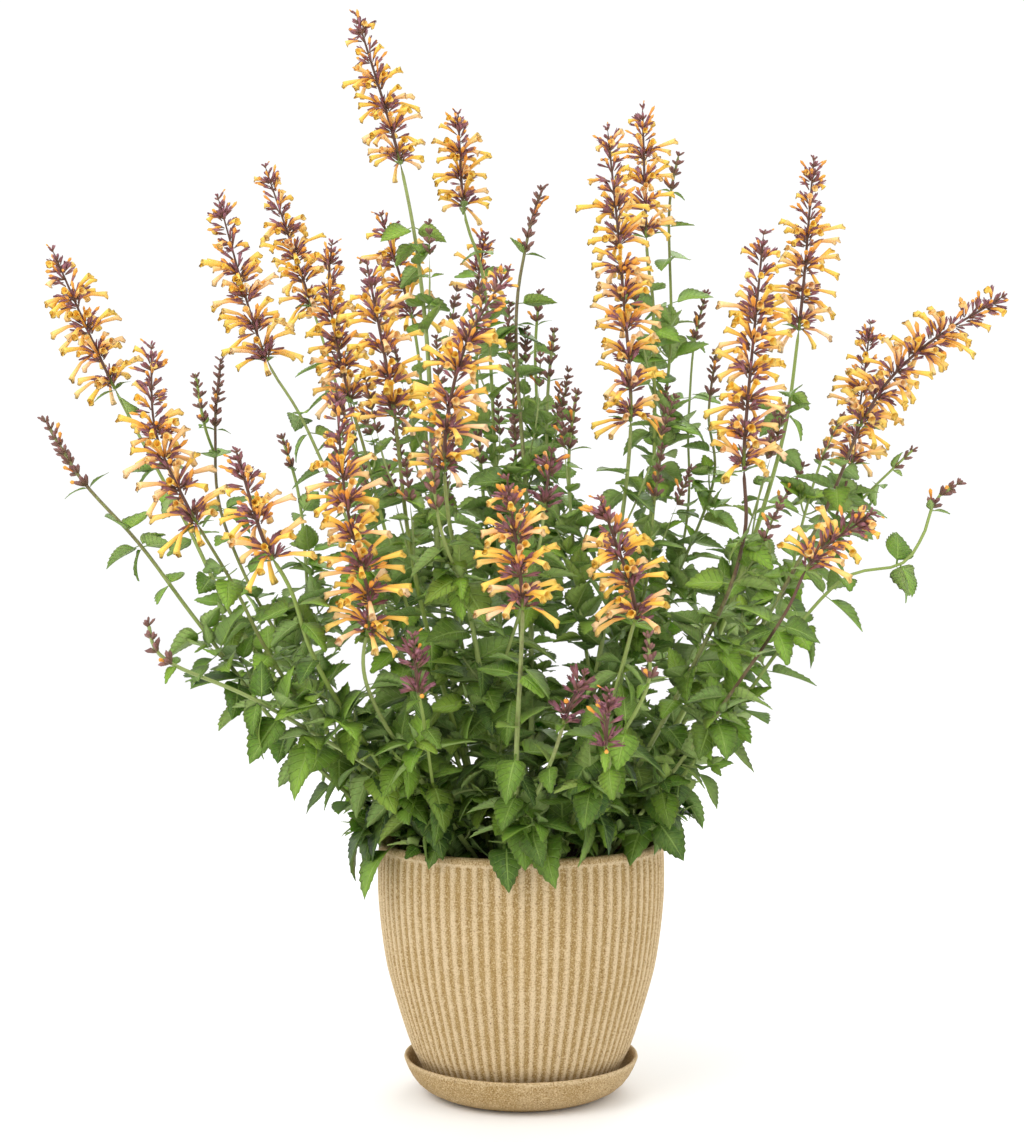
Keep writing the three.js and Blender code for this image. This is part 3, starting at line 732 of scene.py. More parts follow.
@dataclass
class Template:
    """A shape that is modelled once and copied: its points, its faces and each point's place on it."""

    points: np.ndarray
    faces: list[tuple[int, ...]]
    surface: np.ndarray
    slots: list[int]


class Workbench:
    """Models a template by hand with Blender's mesh tools, then hands over its mesh."""

    @staticmethod
    def start() -> None:
        """Deselects everything, so that a tool acts on the new shape alone."""
        if bpy.context.object and bpy.context.object.mode != "OBJECT":
            bpy.ops.object.mode_set(mode="OBJECT")
        bpy.ops.object.select_all(action="DESELECT")

    @staticmethod
    def rings(sides: int, rings: list[Range], closed_start: bool = False, closed_end: bool = True) -> None:
        """Draws a circle out along Z, ring by ring, and leaves the result as the active object.

        Args:
            sides: corners of each ring.
            rings: the radius and the place along Z of each ring.
            closed_start: whether the first ring is drawn to a point.
            closed_end: whether the last ring is drawn to a point.
        """
        Workbench.start()
        radius, height = rings[0]
        bpy.ops.mesh.primitive_circle_add(vertices=sides, radius=radius, location=(0, 0, height))
        bpy.ops.object.transform_apply(location=True, rotation=True, scale=True)
        bpy.ops.object.mode_set(mode="EDIT")
        if closed_start:
            bpy.ops.mesh.edge_face_add()
            bpy.ops.mesh.poke()
            bpy.ops.mesh.select_all(action="DESELECT")
            bpy.ops.object.mode_set(mode="OBJECT")
            for vertex in bpy.context.object.data.vertices:
                vertex.select = math.hypot(vertex.co.x, vertex.co.y) > radius * 0.5
            bpy.ops.object.mode_set(mode="EDIT")
        for next_radius, next_height in rings[1:]:
            move = {"value": (0, 0, next_height - height)}
            bpy.ops.mesh.extrude_edges_move(TRANSFORM_OT_translate=move)
            share = next_radius / radius
            bpy.ops.transform.resize(value=(share, share, 1), center_override=(0, 0, next_height))
            radius, height = next_radius, next_height
        if closed_end:
            bpy.ops.mesh.merge(type="CENTER")
        bpy.ops.mesh.select_all(action="SELECT")
        bpy.ops.mesh.normals_make_consistent(inside=False)
        bpy.ops.object.mode_set(mode="OBJECT")

    @staticmethod
    def take(
        surface: "Callable[[Point], Range]", slot: "Callable[[Point], int] | None" = None
    ) -> Template:
        """Takes the active object's mesh as a template and removes the object.

        Args:
            surface: gives a point's place on the surface.
            slot: gives a face's material number from its middle.

        Returns:
            The template.
        """
        made = bpy.context.object
        mesh = made.data
        points = np.array([tuple(vertex.co) for vertex in mesh.vertices])
        faces = [tuple(face.vertices) for face in mesh.polygons]
        slots = [slot(np.array(face.center)) if slot else 0 for face in mesh.polygons]
        places = np.array([surface(point) for point in points])
        bpy.data.objects.remove(made)
        bpy.data.meshes.remove(mesh)
        return Template(points, faces, places, slots)


class Batch:
    """Copies of templates, gathered into the mesh of one piece, with the draws that vary them."""

    def __init__(self, seed: int = 0) -> None:
        """Starts empty, with the draws from a seed."""
        self.draw = Draw(seed)
        self.points: list[np.ndarray] = []
        self.surface: list[np.ndarray] = []
        self.shade: list[np.ndarray] = []
        self.corners: list[np.ndarray] = []
        self.sizes: list[np.ndarray] = []
        self.slots: list[np.ndarray] = []
        self.count = 0

    def add(self, template: Template, points: np.ndarray, shade: Range, slot: int = 0) -> None:
        """Adds a copy of a template.

        Args:
            template: the shape.
            points: where the copy's points are, in millimetres.
            shade: two values that its finish varies by, as a rule from nought to one.
            slot: what is added to its faces' material numbers.
        """
        corners = np.concatenate([np.array(face) for face in template.faces])
        self.points.append(points)
        self.surface.append(template.surface[corners])
        self.shade.append(np.tile(np.array(shade), (len(corners), 1)))
        self.corners.append(corners + self.count)
        self.sizes.append(np.array([len(face) for face in template.faces]))
        self.slots.append(np.array(template.slots) + slot)
        self.count += len(points)

    def add_varied(self, template: Template, points: np.ndarray, slot: int) -> None:
        """Adds a copy of a template with any shade."""
        self.add(template, points, (self.draw.between(0, 1), self.draw.between(0, 1)), slot)

    def make_whole(self, template: Template, name: str, material: Material, slot: Slot, node: str) -> None:
        """Makes a piece that is one template."""
        self.add(template, template.points, (0, 0))
        self.make(name, [material], slot, (node,))

    def make(self, name: str, materials: list[Material], slot: Slot, nodes: tuple[str, ...] = ()) -> None:
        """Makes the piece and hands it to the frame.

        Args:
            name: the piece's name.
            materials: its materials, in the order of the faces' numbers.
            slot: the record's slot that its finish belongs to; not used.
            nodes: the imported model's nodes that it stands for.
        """
        mesh = bpy.data.meshes.new(name)
        points = np.concatenate(self.points) * MM
        corners = np.concatenate(self.corners)
        sizes = np.concatenate(self.sizes)
        mesh.vertices.add(len(points))
        mesh.vertices.foreach_set("co", points.ravel())
        mesh.loops.add(len(corners))
        mesh.loops.foreach_set("vertex_index", corners)
        mesh.polygons.add(len(sizes))
        mesh.polygons.foreach_set("loop_start", np.concatenate([[0], np.cumsum(sizes)[:-1]]))
        mesh.polygons.foreach_set("material_index", np.concatenate(self.slots))
        for layer, values in (("Surface", self.surface), ("Shade", self.shade)):
            uv = mesh.uv_layers.new(name=layer)
            uv.data.foreach_set("uv", np.concatenate(values).ravel())
        mesh.update(calc_edges=True)
        mesh.shade_smooth()
        piece = bpy.data.objects.new(name, mesh)
        bpy.context.scene.collection.objects.link(piece)
        for material in materials:
            mesh.materials.append(material)
        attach(piece, ROOT_BODY)
        if nodes:
            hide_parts(*nodes)
        log.info("%s: %d faces", name, len(sizes))


def linear(red: int, green: int, blue: int) -> Colour:
    """Returns a screen colour of 0 to 255 a channel as the shader's colour."""
    channels = (value / 255 for value in (red, green, blue))
    return (*(c / 12.92 if c <= 0.04045 else ((c + 0.055) / 1.055) ** 2.4 for c in channels), 1.0)


class Graph:
    """A material's or node group's nodes, added and joined in short calls."""

    def __init__(self, tree: bpy.types.NodeTree) -> None:
        """Takes the tree and clears it."""
        self.tree = tree
        self.shader: "Node | None" = None
        tree.nodes.clear()

    def add(self, kind: str, inputs: "dict | None" = None, **settings: object) -> Node:
        """Adds a node.

        Args:
            kind: the node's type.
            inputs: values or sockets for its inputs, by name or number.
            settings: values for the node's own properties.

        Returns:
            The node.
        """
        node = self.tree.nodes.new(kind)
        for key, value in settings.items():
            setattr(node, key, value)
        for key, value in (inputs or {}).items():
            if isinstance(value, Socket):
                self.tree.links.new(value, node.inputs[key])
            else:
                node.inputs[key].default_value = value
        return node

    def math(self, operation: str, *values: object) -> Socket:
        """Returns the result of a sum on values or sockets."""
        return self.add("ShaderNodeMath", dict(enumerate(values)), operation=operation).outputs[0]

    def plus(self, first: object, second: object) -> Socket:
        """Returns two values added."""
        return self.math("ADD", first, second)

    def times(self, first: object, second: object) -> Socket:
        """Returns two values multiplied."""
        return self.math("MULTIPLY", first, second)

    def waves(self, value: object, count: float) -> Socket:
        """Returns ridges across a value, so many to each one of it."""
        return self.math("PINGPONG", self.times(value, count), 0.5)

    def spread(
        self, value: object, low: float, high: float, to_low: float = 0, to_high: float = 1
    ) -> Socket:
        """Returns a value spread smoothly from one range to another and kept inside it."""
        inputs = {"Value": value, "From Min": low, "From Max": high, "To Min": to_low, "To Max": to_high}
        return self.add("ShaderNodeMapRange", inputs, interpolation_type="SMOOTHSTEP").outputs["Result"]

    def mix(self, share: object, first: object, second: object) -> Socket:
        """Returns two colours mixed."""
        return self.add("ShaderNodeMix", {0: share, 6: first, 7: second}, data_type="RGBA").outputs[2]

    def noise(self, scale: object, detail: float, vector: Socket) -> Socket:
        """Returns a noise value."""
        inputs = {"Scale": scale, "Detail": detail, "Vector": vector}
        return self.add("ShaderNodeTexNoise", inputs).outputs["Fac"]

    def uv(self, name: str) -> tuple[Socket, Socket]:
        """Reads a surface layer.

        Args:
            name: the layer's name.

        Returns:
            Its two coordinates.
        """
        layer = self.add("ShaderNodeUVMap", uv_map=name)
        parts = self.add("ShaderNodeSeparateXYZ", {0: layer.outputs[0]})
        return parts.outputs[0], parts.outputs[1]

    def place(self) -> Socket:
        """Returns the piece's own coordinates."""
        return self.add("ShaderNodeTexCoord").outputs["Object"]

    def uneven(self, coarse: float, fine: float) -> Socket:
        """Returns the mask for uneven growth at two scales, in waves a metre."""
        inputs = {"Coarse": coarse, "Fine": fine}
        return self.add("ShaderNodeGroup", inputs, node_tree=mottle_group()).outputs["Mask"]

    def paint(self, colour: Socket) -> None:
        """Gives the shader its colour."""
        self.tree.links.new(colour, self.shader.inputs["Base Color"])

    def bump(self, height: Socket, depth: float, strength: float = 1) -> None:
        """Gives the shader relief from a height, with its depth in metres."""
        relief = self.add("ShaderNodeBump", {"Height": height, "Distance": depth, "Strength": strength})
        self.tree.links.new(relief.outputs[0], self.shader.inputs["Normal"])

    def glow(self, weight: float, reach: Place, scale: float) -> None:
        """Lets light into the surface.

        Args:
            weight: how much of the light goes in.
            reach: how far red, green and blue go, in metres.
            scale: what the reach is multiplied by.
        """
        self.shader.inputs["Subsurface Weight"].default_value = weight
        self.shader.inputs["Subsurface Radius"].default_value = reach
        self.shader.inputs["Subsurface Scale"].default_value = scale


def mottle_group() -> bpy.types.NodeTree:
    """Builds the node group for uneven growth once: a coarse and a fine noise, joined in one mask.

    Returns:
        The group.
    """
    if "uneven" in bpy.data.node_groups:
        return bpy.data.node_groups["uneven"]
    group = bpy.data.node_groups.new("uneven", "ShaderNodeTree")
    group.interface.new_socket("Coarse", in_out="INPUT", socket_type="NodeSocketFloat")
    group.interface.new_socket("Fine", in_out="INPUT", socket_type="NodeSocketFloat")
    group.interface.new_socket("Mask", in_out="OUTPUT", socket_type="NodeSocketFloat")
    graph = Graph(group)
    given = graph.add("NodeGroupInput")
    place = graph.place()
    coarse = graph.times(graph.noise(given.outputs["Coarse"], 3, place), 0.6)
    fine = graph.times(graph.noise(given.outputs["Fine"], 2, place), 0.4)
    graph.add("NodeGroupOutput", {"Mask": graph.spread(graph.plus(coarse, fine), 0.35, 0.65)})
    return group


@dataclass(frozen=True)
class Finish:
    """A finish: a name, and how dull its surface is."""

    name: str
    roughness: float

    def build(self) -> Material:
        """Builds the finish.

        Returns:
            The material.
        """
        material = bpy.data.materials.new(self.name)
        material.use_nodes = True
        graph = Graph(material.node_tree)
        graph.shader = graph.add("ShaderNodeBsdfPrincipled", {"Roughness": self.roughness})
        graph.add("ShaderNodeOutputMaterial", {"Surface": graph.shader.outputs[0]})
        self.dress(graph)
        return material

    def dress(self, graph: Graph) -> None:
        """Adds what the finish has beyond its dullness."""


@dataclass(frozen=True)
class LeafFinish(Finish):
    """A leaf's face: a range of greens, with paler veins that stand in or out of it.

    Where a leaf falls in the range paints the shade and light on it as well as its own tone.
    """

    dark: Colour
    light: Colour
    vein: Colour
    vein_depth: float
    yellow: Colour = linear(150, 170, 60)
    ribs: float = 8.0
    rib_lean: float = 1.6

    def dress(self, graph: Graph) -> None:
        """Adds the finish's colour and relief."""
        along, across = graph.uv("Surface")
        light, yellow = graph.uv("Shade")
        side = graph.math("ABSOLUTE", graph.math("SUBTRACT", graph.times(across, 2.0), 1.0))
        lean = graph.times(side, self.rib_lean)
        ribs = graph.math("PINGPONG", graph.math("SUBTRACT", graph.times(along, self.ribs), lean), 0.5)
        veins = graph.times(graph.spread(ribs, 0.1, 0.0), graph.spread(side, 1.0, 0.7))
        midrib = graph.spread(side, 0.1, 0.02)
        vein = graph.math("MAXIMUM", veins, midrib)
        uneven = graph.uneven(60, 420)
        # Painted shade and light: each leaf's lightness, darker low and deep in the bush and lighter up and
        # out, with its random tone and uneven growth.
        share = graph.plus(graph.times(light, 0.75), graph.times(uneven, 0.25))
        green = graph.mix(share, self.dark, self.light)
        green = graph.mix(graph.times(yellow, 0.5), green, self.yellow)
        graph.paint(graph.mix(graph.times(vein, 0.45), green, self.vein))
        graph.glow(0.12, (0.002, 0.004, 0.001), 0.5)
        graph.shader.inputs["Specular IOR Level"].default_value = 0.35
        height = graph.plus(graph.times(vein, self.vein_depth), graph.times(uneven, 0.5))
        graph.bump(height, 0.0006)


@dataclass(frozen=True)
class StemFinish(Finish):
    """A stem: green below, browner towards its flowers, with fine streaks, and paler when young."""

    young: Colour
    old: Colour
    pale: Colour = linear(152, 168, 98)
    streaks: float = 16.0

    def dress(self, graph: Graph) -> None:
        """Adds the finish's colour and relief."""
        along, around = graph.uv("Surface")
        ripe, pale = graph.uv("Shade")
        uneven = graph.uneven(25, 300)
        share = graph.spread(graph.plus(graph.times(along, ripe), graph.times(uneven, 0.25)), 0.35, 1.0)
        graph.paint(graph.mix(share, graph.mix(pale, self.young, self.pale), self.old))
        graph.bump(graph.plus(graph.waves(around, self.streaks), uneven), 0.0003)


@dataclass(frozen=True)
class PetalFinish(Finish):
    """A flower's surface: one colour at its root, one at its mouth, both drifting to older ones."""

    root: Colour
    mouth: Colour
    old_root: Colour
    old_mouth: Colour
    translucence: float
    streaks: float = 10.0

    def dress(self, graph: Graph) -> None:
        """Adds the finish's colour and relief."""
        along, around = graph.uv("Surface")
        age, light = graph.uv("Shade")
        reach = graph.spread(along, 0.05, 0.85)
        fresh = graph.mix(reach, self.root, self.mouth)
        old = graph.mix(reach, self.old_root, self.old_mouth)
        colour = graph.mix(age, fresh, old)
        uneven = graph.uneven(150, 700)
        shade = graph.plus(graph.times(light, 0.35), graph.times(uneven, 0.2))
        graph.paint(graph.mix(shade, colour, graph.mix(0.5, colour, self.root)))
        graph.glow(self.translucence, (0.003, 0.0015, 0.0006), 0.6)
        height = graph.plus(graph.waves(around, self.streaks), graph.times(uneven, 0.5))
        graph.bump(height, 0.0002)


@dataclass(frozen=True)
class ClayFinish(Finish):
    """Unglazed clay with fine specks: tan down the flutes and paler on the ribs and the saucer's rim top.

    The ribs' paleness is partly wear and partly painted light, and the flutes' tan is partly painted shade;
    together they stand in for the light and shade of the fluting's shallow relief.
    """

    hollow: Colour
    worn_and_lit_rib: Colour
    sand: Colour = linear(214, 190, 148)
    speck: Colour = linear(124, 92, 46)
    fleck: Colour = linear(104, 76, 42)

    def dress(self, graph: Graph) -> None:
        """Adds the finish's colour and relief."""
        ridge, _ = graph.uv("Surface")
        place = graph.place()
        uneven = graph.uneven(16, 120)
        grain = graph.noise(800, 4, place)
        fleck = graph.noise(330, 2, place)
        worn = graph.plus(graph.times(uneven, 0.3), graph.times(graph.spread(grain, 0.3, 0.7), 0.5))
        # Painted light and shade: the ridge value makes the ribs paler and the flutes darker, with the clay's
        # uneven wear mixed in.
        share = graph.spread(graph.plus(ridge, worn), 0.3, 1.6)
        colour = graph.mix(share, self.hollow, self.worn_and_lit_rib)
        colour = graph.mix(graph.spread(grain, 0.54, 0.66, 0, 0.6), colour, self.sand)
        # Dark specks, thicker down the flutes, which partly paints shade in them.
        flute = graph.spread(ridge, 1.0, 0.2, 0.3, 0.8)
        dark = graph.times(graph.spread(grain, 0.46, 0.33), flute)
        colour = graph.mix(dark, colour, self.speck)
        colour = graph.mix(graph.spread(fleck, 0.7, 0.76, 0, 0.7), colour, self.fleck)
        graph.paint(colour)
        graph.bump(graph.plus(grain, graph.times(uneven, 0.6)), 0.0012, 0.8)


@dataclass(frozen=True)
class SoilFinish(Finish):
    """Potting mix: dark crumbs, with brown bark among them."""

    dark: Colour
    bark: Colour
    dry: Colour = linear(110, 80, 55)

    def dress(self, graph: Graph) -> None:
        """Adds the finish's colour and relief."""
        crumbs = graph.noise(260, 6, graph.place())
        colour = graph.mix(graph.spread(crumbs, 0.4, 0.7), self.dark, self.bark)
        light, _ = graph.uv("Shade")
        graph.paint(graph.mix(graph.times(light, 0.6), colour, self.dry))
        graph.bump(crumbs, 0.004)


@dataclass(frozen=True)
class FloorFinish(Finish):
    """The studio floor: nearly white."""

    dark: Colour
    light: Colour

    def dress(self, graph: Graph) -> None:
        """Adds the finish's colour."""
        graph.paint(graph.mix(graph.noise(3, 2, graph.place()), self.dark, self.light))


@dataclass
class LeafShape:
    """A toothed leaf as a template: along X from its root to its tip, across Y, one unit long and wide."""

    teeth: int = 8
    petiole: float = 0.17
    thickness: float = 0.008
    tooth: float = 0.065
    tooth_reach: float = 0.7
    last_tooth: float = 0.93
    petiole_width: float = 0.07
    full: float = 0.5

    def width(self, share: float) -> float:
        """Returns the half width's share at a share of the length."""
        past = held((share - self.petiole) / (1 - self.petiole))
        return max(math.sin(math.pi * past**self.full) ** 0.85, self.petiole_width if share < 0.5 else 0.0)

    def build(self) -> Template:
        """Models an upper and a lower face that meet in a toothed edge.

        Returns:
            The template.
        """
        steps = 2 * self.teeth + 3
        Workbench.start()
        bpy.ops.mesh.primitive_grid_add(x_subdivisions=steps, y_subdivisions=2, size=1, location=(0.5, 0, 0))
        bpy.ops.object.transform_apply(location=True, rotation=True, scale=True)
        for vertex in bpy.context.object.data.vertices:
            step = round(vertex.co.x * steps)
            edge = vertex.co.y * 2
            share = step / steps
            tip = edge and step % 2 == 0 and self.petiole + 0.05 < share < self.last_tooth
            width = self.width(share)
            vertex.co.x = share + (self.tooth_reach / steps if tip else 0)
            vertex.co.y = edge * (width + (self.tooth * (0.35 + 0.65 * width) if tip else 0))
            vertex.co.z = 0 if edge else self.thickness
        bpy.ops.object.mode_set(mode="EDIT")
        bpy.ops.mesh.select_all(action="SELECT")
        bpy.ops.mesh.duplicate()
        bpy.ops.mesh.flip_normals()
        bpy.ops.transform.resize(value=(1, 1, -1), center_override=(0, 0, 0))
        bpy.ops.mesh.select_all(action="SELECT")
        bpy.ops.mesh.remove_doubles(threshold=0.001)
        bpy.ops.object.mode_set(mode="OBJECT")
        return Workbench.take(self.surface, lambda middle: 1 if middle[2] < 0 else 0)

    def surface(self, point: Point) -> Range:
        """Returns a point's share of the length and its share of the way across."""
        across = point[1] / max(self.width(held(point[0])), 0.02)
        return point[0], 0.5 + 0.5 * held(across, -1)


class Leaves:
    """Places copies of the leaf template along a blade's shape."""

    FINE_LENGTH = 34.0
    WAVE = (0.3, 1.2)
    WAVE_COUNT = (6.0, 10.0)
    TWIST = 0.25
    WAVE_SHARE = 45.0

    def __init__(self, fine: Template, coarse: Template) -> None:
        """Takes the template for large leaves and the one for small leaves."""
        self.fine = fine
        self.coarse = coarse

    def add(self, batch: Batch, blade: Blade, light: float, slot: int) -> None:
        """Adds a leaf to a batch.

        Args:
            batch: the piece.
            blade: the leaf's shape in space.
            light: how light its green is, from nought to one.
            slot: the number of the leaf's first material.
        """
        draw = batch.draw
        template = self.fine if blade.length > self.FINE_LENGTH else self.coarse
        along = template.points[:, 0]
        across = template.points[:, 1]
        height = draw.between(*self.WAVE)
        wave = height * np.sin(along * draw.between(*self.WAVE_COUNT) + draw.between(0, 6)) * np.abs(across)
        twist = draw.between(-self.TWIST, self.TWIST) * along
        left = across * blade.half_width
        off = template.points[:, 2] * blade.length + wave * blade.length / self.WAVE_SHARE + twist * left
        points = blade.at(along, left, off)
        yellow = draw.between(0, 1) ** 6
        batch.add(template, points, (held(light + draw.between(-0.4, 0.45)), yellow), slot)


class FlowerParts:
    """The templates of a spike's parts, each along Z from root to tip, one unit long, millimetres wide."""

    COROLLA = ((0.95, 0), (1.4, 0.42), (2.2, 0.84), (2.75, 0.97), (1.95, 0.82), (1.0, 0.5))
    BUD = ((0.9, 0), (1.2, 0.35), (2.2, 0.8), (1.1, 1.0))
    CALYX = ((0.5, 0), (1.55, 0.88), (0.8, 0.6))
    CLOSED = ((0.5, 0), (1.2, 0.3), (1.35, 0.74), (0.55, 1.0))
    MOUTH_RADIUS = 2.6
    RIM_RADIUS = 1.5
    FINE_SIDES = 10
    COARSE_SIDES = 6

    def corolla(self) -> Template:
        """Models the open flower: a slim tube that widens to a mouth with an upper and a lower lip.

        Returns:
            The template.
        """
        Workbench.rings(self.FINE_SIDES, list(self.COROLLA), closed_start=True)
        for vertex in bpy.context.object.data.vertices:
            if math.hypot(vertex.co.x, vertex.co.y) > self.MOUTH_RADIUS:
                self.shape_lip(vertex, math.atan2(vertex.co.y, vertex.co.x))
        return Workbench.take(self.surface)

    @staticmethod
    def shape_lip(vertex: bpy.types.MeshVertex, angle: float) -> None:
        """Draws a corner of the mouth out into one of its five lobes, the lower ones further and turned back.

        Args:
            vertex: the corner.
            angle: where it is round the mouth, from the top.
        """
        lobe = round(angle / (math.pi / 5)) % 2 == 1
        low = 1 - math.cos(angle)
        grow = 1.08 + 0.2 * low if lobe else 0.9
        vertex.co.x *= grow
        vertex.co.y *= grow
        vertex.co.z = 1.03 - 0.03 * low if lobe else 0.93

    def bud(self) -> Template:
        """Returns the closed flower: a slim tube with a rounded, swollen end."""
        Workbench.rings(self.COARSE_SIDES, list(self.BUD))
        return Workbench.take(self.surface)

    def calyx(self) -> Template:
        """Models the cup behind a flower, with five pointed teeth.

        Returns:
            The template.
        """
        Workbench.rings(self.FINE_SIDES, list(self.CALYX), closed_start=True)
        for vertex in bpy.context.object.data.vertices:
            if math.hypot(vertex.co.x, vertex.co.y) > self.RIM_RADIUS:
                tooth = round(math.atan2(vertex.co.y, vertex.co.x) / (math.pi / 5)) % 2 == 0
                vertex.co.z = 1.14 if tooth else 0.78
                vertex.co.x *= 1.15 if tooth else 0.92
                vertex.co.y *= 1.15 if tooth else 0.92
        return Workbench.take(self.surface)

    def closed(self) -> Template:
        """Returns the closed cup of a whorl that hasn't opened: a small rod with a rounded end."""
        Workbench.rings(self.COARSE_SIDES, list(self.CLOSED))
        return Workbench.take(self.surface)

    @staticmethod
    def surface(point: Point) -> Range:
        """Returns a point's share of the length and its share of the way round."""
        return point[2], 0.5 + math.atan2(point[1], point[0]) / CIRCLE


@dataclass
class Arc:
    """A curve from a root to an end, drawn towards a middle point."""

    root: Point
    middle: Point
    end: Point

    def at(self, share: "float | np.ndarray") -> Point:
        """Returns the point at a share of the way."""
        return self.root * (1 - share) ** 2 + 2 * self.middle * share * (1 - share) + self.end * share**2

    def bend(self, template: Template, up: Point, girth: float = 1) -> np.ndarray:
        """Bends a template along the curve.

        Args:
            template: a shape along Z, one unit long.
            up: which way its X points, as nearly as it can.
            girth: how much its width is scaled.

        Returns:
            The template's points.
        """
        share = template.points[:, 2:3]
        along = 2 * (self.middle - self.root) * (1 - share) + 2 * (self.end - self.middle) * share
        along /= np.linalg.norm(along, axis=1, keepdims=True)
        side = np.cross(along, up)
        side /= np.linalg.norm(side, axis=1, keepdims=True)
        top = np.cross(side, along)
        return self.at(share) + girth * (template.points[:, 0:1] * top + template.points[:, 1:2] * side)


@dataclass
class Stalks:
    """Square stems: a template tube that is bent along each stem's line."""

    ridge: float = 0.16

    def build(self, steps: int, sides: int = 12) -> Template:
        """Models a square tube with rounded ridges, one unit long and one unit from middle to ridge.

        Args:
            steps: how many parts it is long.
            sides: how many faces it has round it.

        Returns:
            The template.
        """
        rings = [(1.0, step / steps) for step in range(steps + 1)]
        Workbench.rings(sides, rings, closed_start=True)
        for vertex in bpy.context.object.data.vertices:
            angle = math.atan2(vertex.co.y, vertex.co.x)
            radius = math.hypot(vertex.co.x, vertex.co.y)
            shrink = 1 - self.ridge * (1 - math.cos(4 * angle)) if radius > 0.5 else 1
            vertex.co.x *= shrink
            vertex.co.y *= shrink
        return Workbench.take(FlowerParts.surface)

    @staticmethod
    def along(
        template: Template, shoot: Shoot, low: float, high: float, radius: "Callable[[float], float]"
    ) -> np.ndarray:
        """Bends a tube along a stem.

        Args:
            template: the tube.
            shoot: the stem.
            low: the distance along the stem where the tube starts.
            high: where it ends.
            radius: gives its radius at a distance.

        Returns:
            The tube's points.
        """
        points = np.zeros((len(template.points), 3))
        for share in np.unique(template.points[:, 2].round(5)):
            here = np.abs(template.points[:, 2] - share) < 1e-4
            at = lerp(low, high, float(share))
            across = shoot.out(at, 0)
            other = np.cross(shoot.along(at), across)
            width = radius(at)
            ring = template.points[here]
            points[here] = shoot.point(at) + width * (ring[:, 0:1] * across + ring[:, 1:2] * other)
        return points


@dataclass
class Pot:
    """The clay pot: a tapering body with narrow upright ribs, a rounded rim and a hole in its floor."""

    outside: tuple[Range, ...] = (
        *((83.0, 10.0), (84.6, 14.0), (98.0, 44.0), (109.0, 77.0)),
        *((119.5, 115.0), (126.0, 165.0), (127.2, 200.0), (126.3, 219.5)),
    )
    inside: tuple[float, ...] = (219.5, 214, 205, 190, 120, 60, 26)
    wall: float = 8.0
    rim: float = 3.6
    floor: float = 22.0
    drain: float = 9.0
    ribs: int = 80
    across_rib: int = 6
    depth: float = 1.5
    low_end: float = 17.0
    high_end: float = 217.0
    arch: float = 5.0
    end_slope: float = 2.4
    plain_light: float = 0.4

    def radius(self, height: float) -> float:
        """Reads the outside's curve.

        Args:
            height: a height on it.

        Returns:
            The radius over the ribs there.
        """
        heights = [place[1] for place in self.outside]
        radii = [place[0] for place in self.outside]
        near = max(min(np.searchsorted(heights, height) - 1, len(radii) - 2), 0)
        before = radii[max(near - 1, 0)] if near else 2 * radii[0] - radii[1]
        after = radii[near + 2] if near + 2 < len(radii) else radii[-1]
        share = (height - heights[near]) / (heights[near + 1] - heights[near])
        return through(before, radii[near], radii[near + 1], after, share)

    def rings(self) -> list[Range]:
        """Lays out the pot's section.

        Returns:
            The rings from the drain hole out, up, over the rim and back down inside.
        """
        foot, top_height = self.outside[0][1], self.outside[-1][1]
        heights = [*np.linspace(foot, 22, 9), *np.linspace(30, 204, 16), *np.linspace(209, top_height, 9)]
        outer = [(self.radius(height), float(height)) for height in heights]
        top = outer[-1][0] - self.wall / 2
        turn = np.linspace(0, math.pi, 8)[1:-1]
        half = self.wall / 2
        bead = [(top + half * math.cos(angle), top_height + self.rim * math.sin(angle)) for angle in turn]
        inner = [(self.radius(height) - self.wall, float(height)) for height in self.inside]
        edge = self.radius(self.floor) - self.wall - 4
        floor = [(edge, self.floor), (self.drain, self.floor), (self.drain, foot)]
        return [*outer, *bead, *inner, *floor]

    def hollow(self, share: float, height: float) -> float:
        """Shapes a flute, which has an arched top and bottom.

        Args:
            share: a share of the way across it.
            height: a height on it.

        Returns:
            How deep it is there, from nought to one.
        """
        middle = 1 - abs(2 * share - 1)
        arch = self.arch * (1 - math.sqrt(max(1 - (1 - middle) ** 2, 0)))
        ends = min(self.high_end - arch - height, height - self.low_end - 0.6 * arch) / self.end_slope
        side = held((middle - 0.12) / 0.7)
        return held(ends) * side * side * (3 - 2 * side)

    def build(self, clay: Material) -> None:
        """Models the pot and dresses it.

        Args:
            clay: its material.
        """
        Workbench.rings(self.ribs * self.across_rib, self.rings(), closed_end=False)
        bpy.ops.object.mode_set(mode="EDIT")
        bpy.ops.mesh.select_all(action="SELECT")
        bpy.ops.mesh.region_to_loop()
        bpy.ops.mesh.bridge_edge_loops()
        bpy.ops.mesh.select_all(action="SELECT")
        bpy.ops.mesh.normals_make_consistent(inside=False)
        bpy.ops.object.mode_set(mode="OBJECT")
        ridges = {}
        for vertex in bpy.context.object.data.vertices:
            radius = math.hypot(vertex.co.x, vertex.co.y)
            share = (math.atan2(vertex.co.y, vertex.co.x) / CIRCLE * self.ribs) % 1
            outer = radius > self.radius(vertex.co.z) - 1 and vertex.co.z < self.outside[-1][1] + 0.1
            dent = self.hollow(share, vertex.co.z) if outer else 0
            vertex.co.x *= 1 - dent * self.depth / radius
            vertex.co.y *= 1 - dent * self.depth / radius
            plain = not self.low_end < vertex.co.z < self.high_end
            # The ridge value, which the clay's finish paints as light on the ribs and shade in the flutes;
            # plain parts take a middle value.
            ridges[self.key(vertex.co)] = self.plain_light if plain or not outer else 1 - dent
        template = Workbench.take(lambda point: (ridges[self.key(point)], 0.0))
        Batch().make_whole(template, "clay_pot", clay, Slot.CLAY, "pot")

    @staticmethod
    def key(point: Point) -> tuple[float, ...]:
        """Returns a point's place, rounded to where it can be looked up by."""
        return tuple(round(value, 3) for value in point)


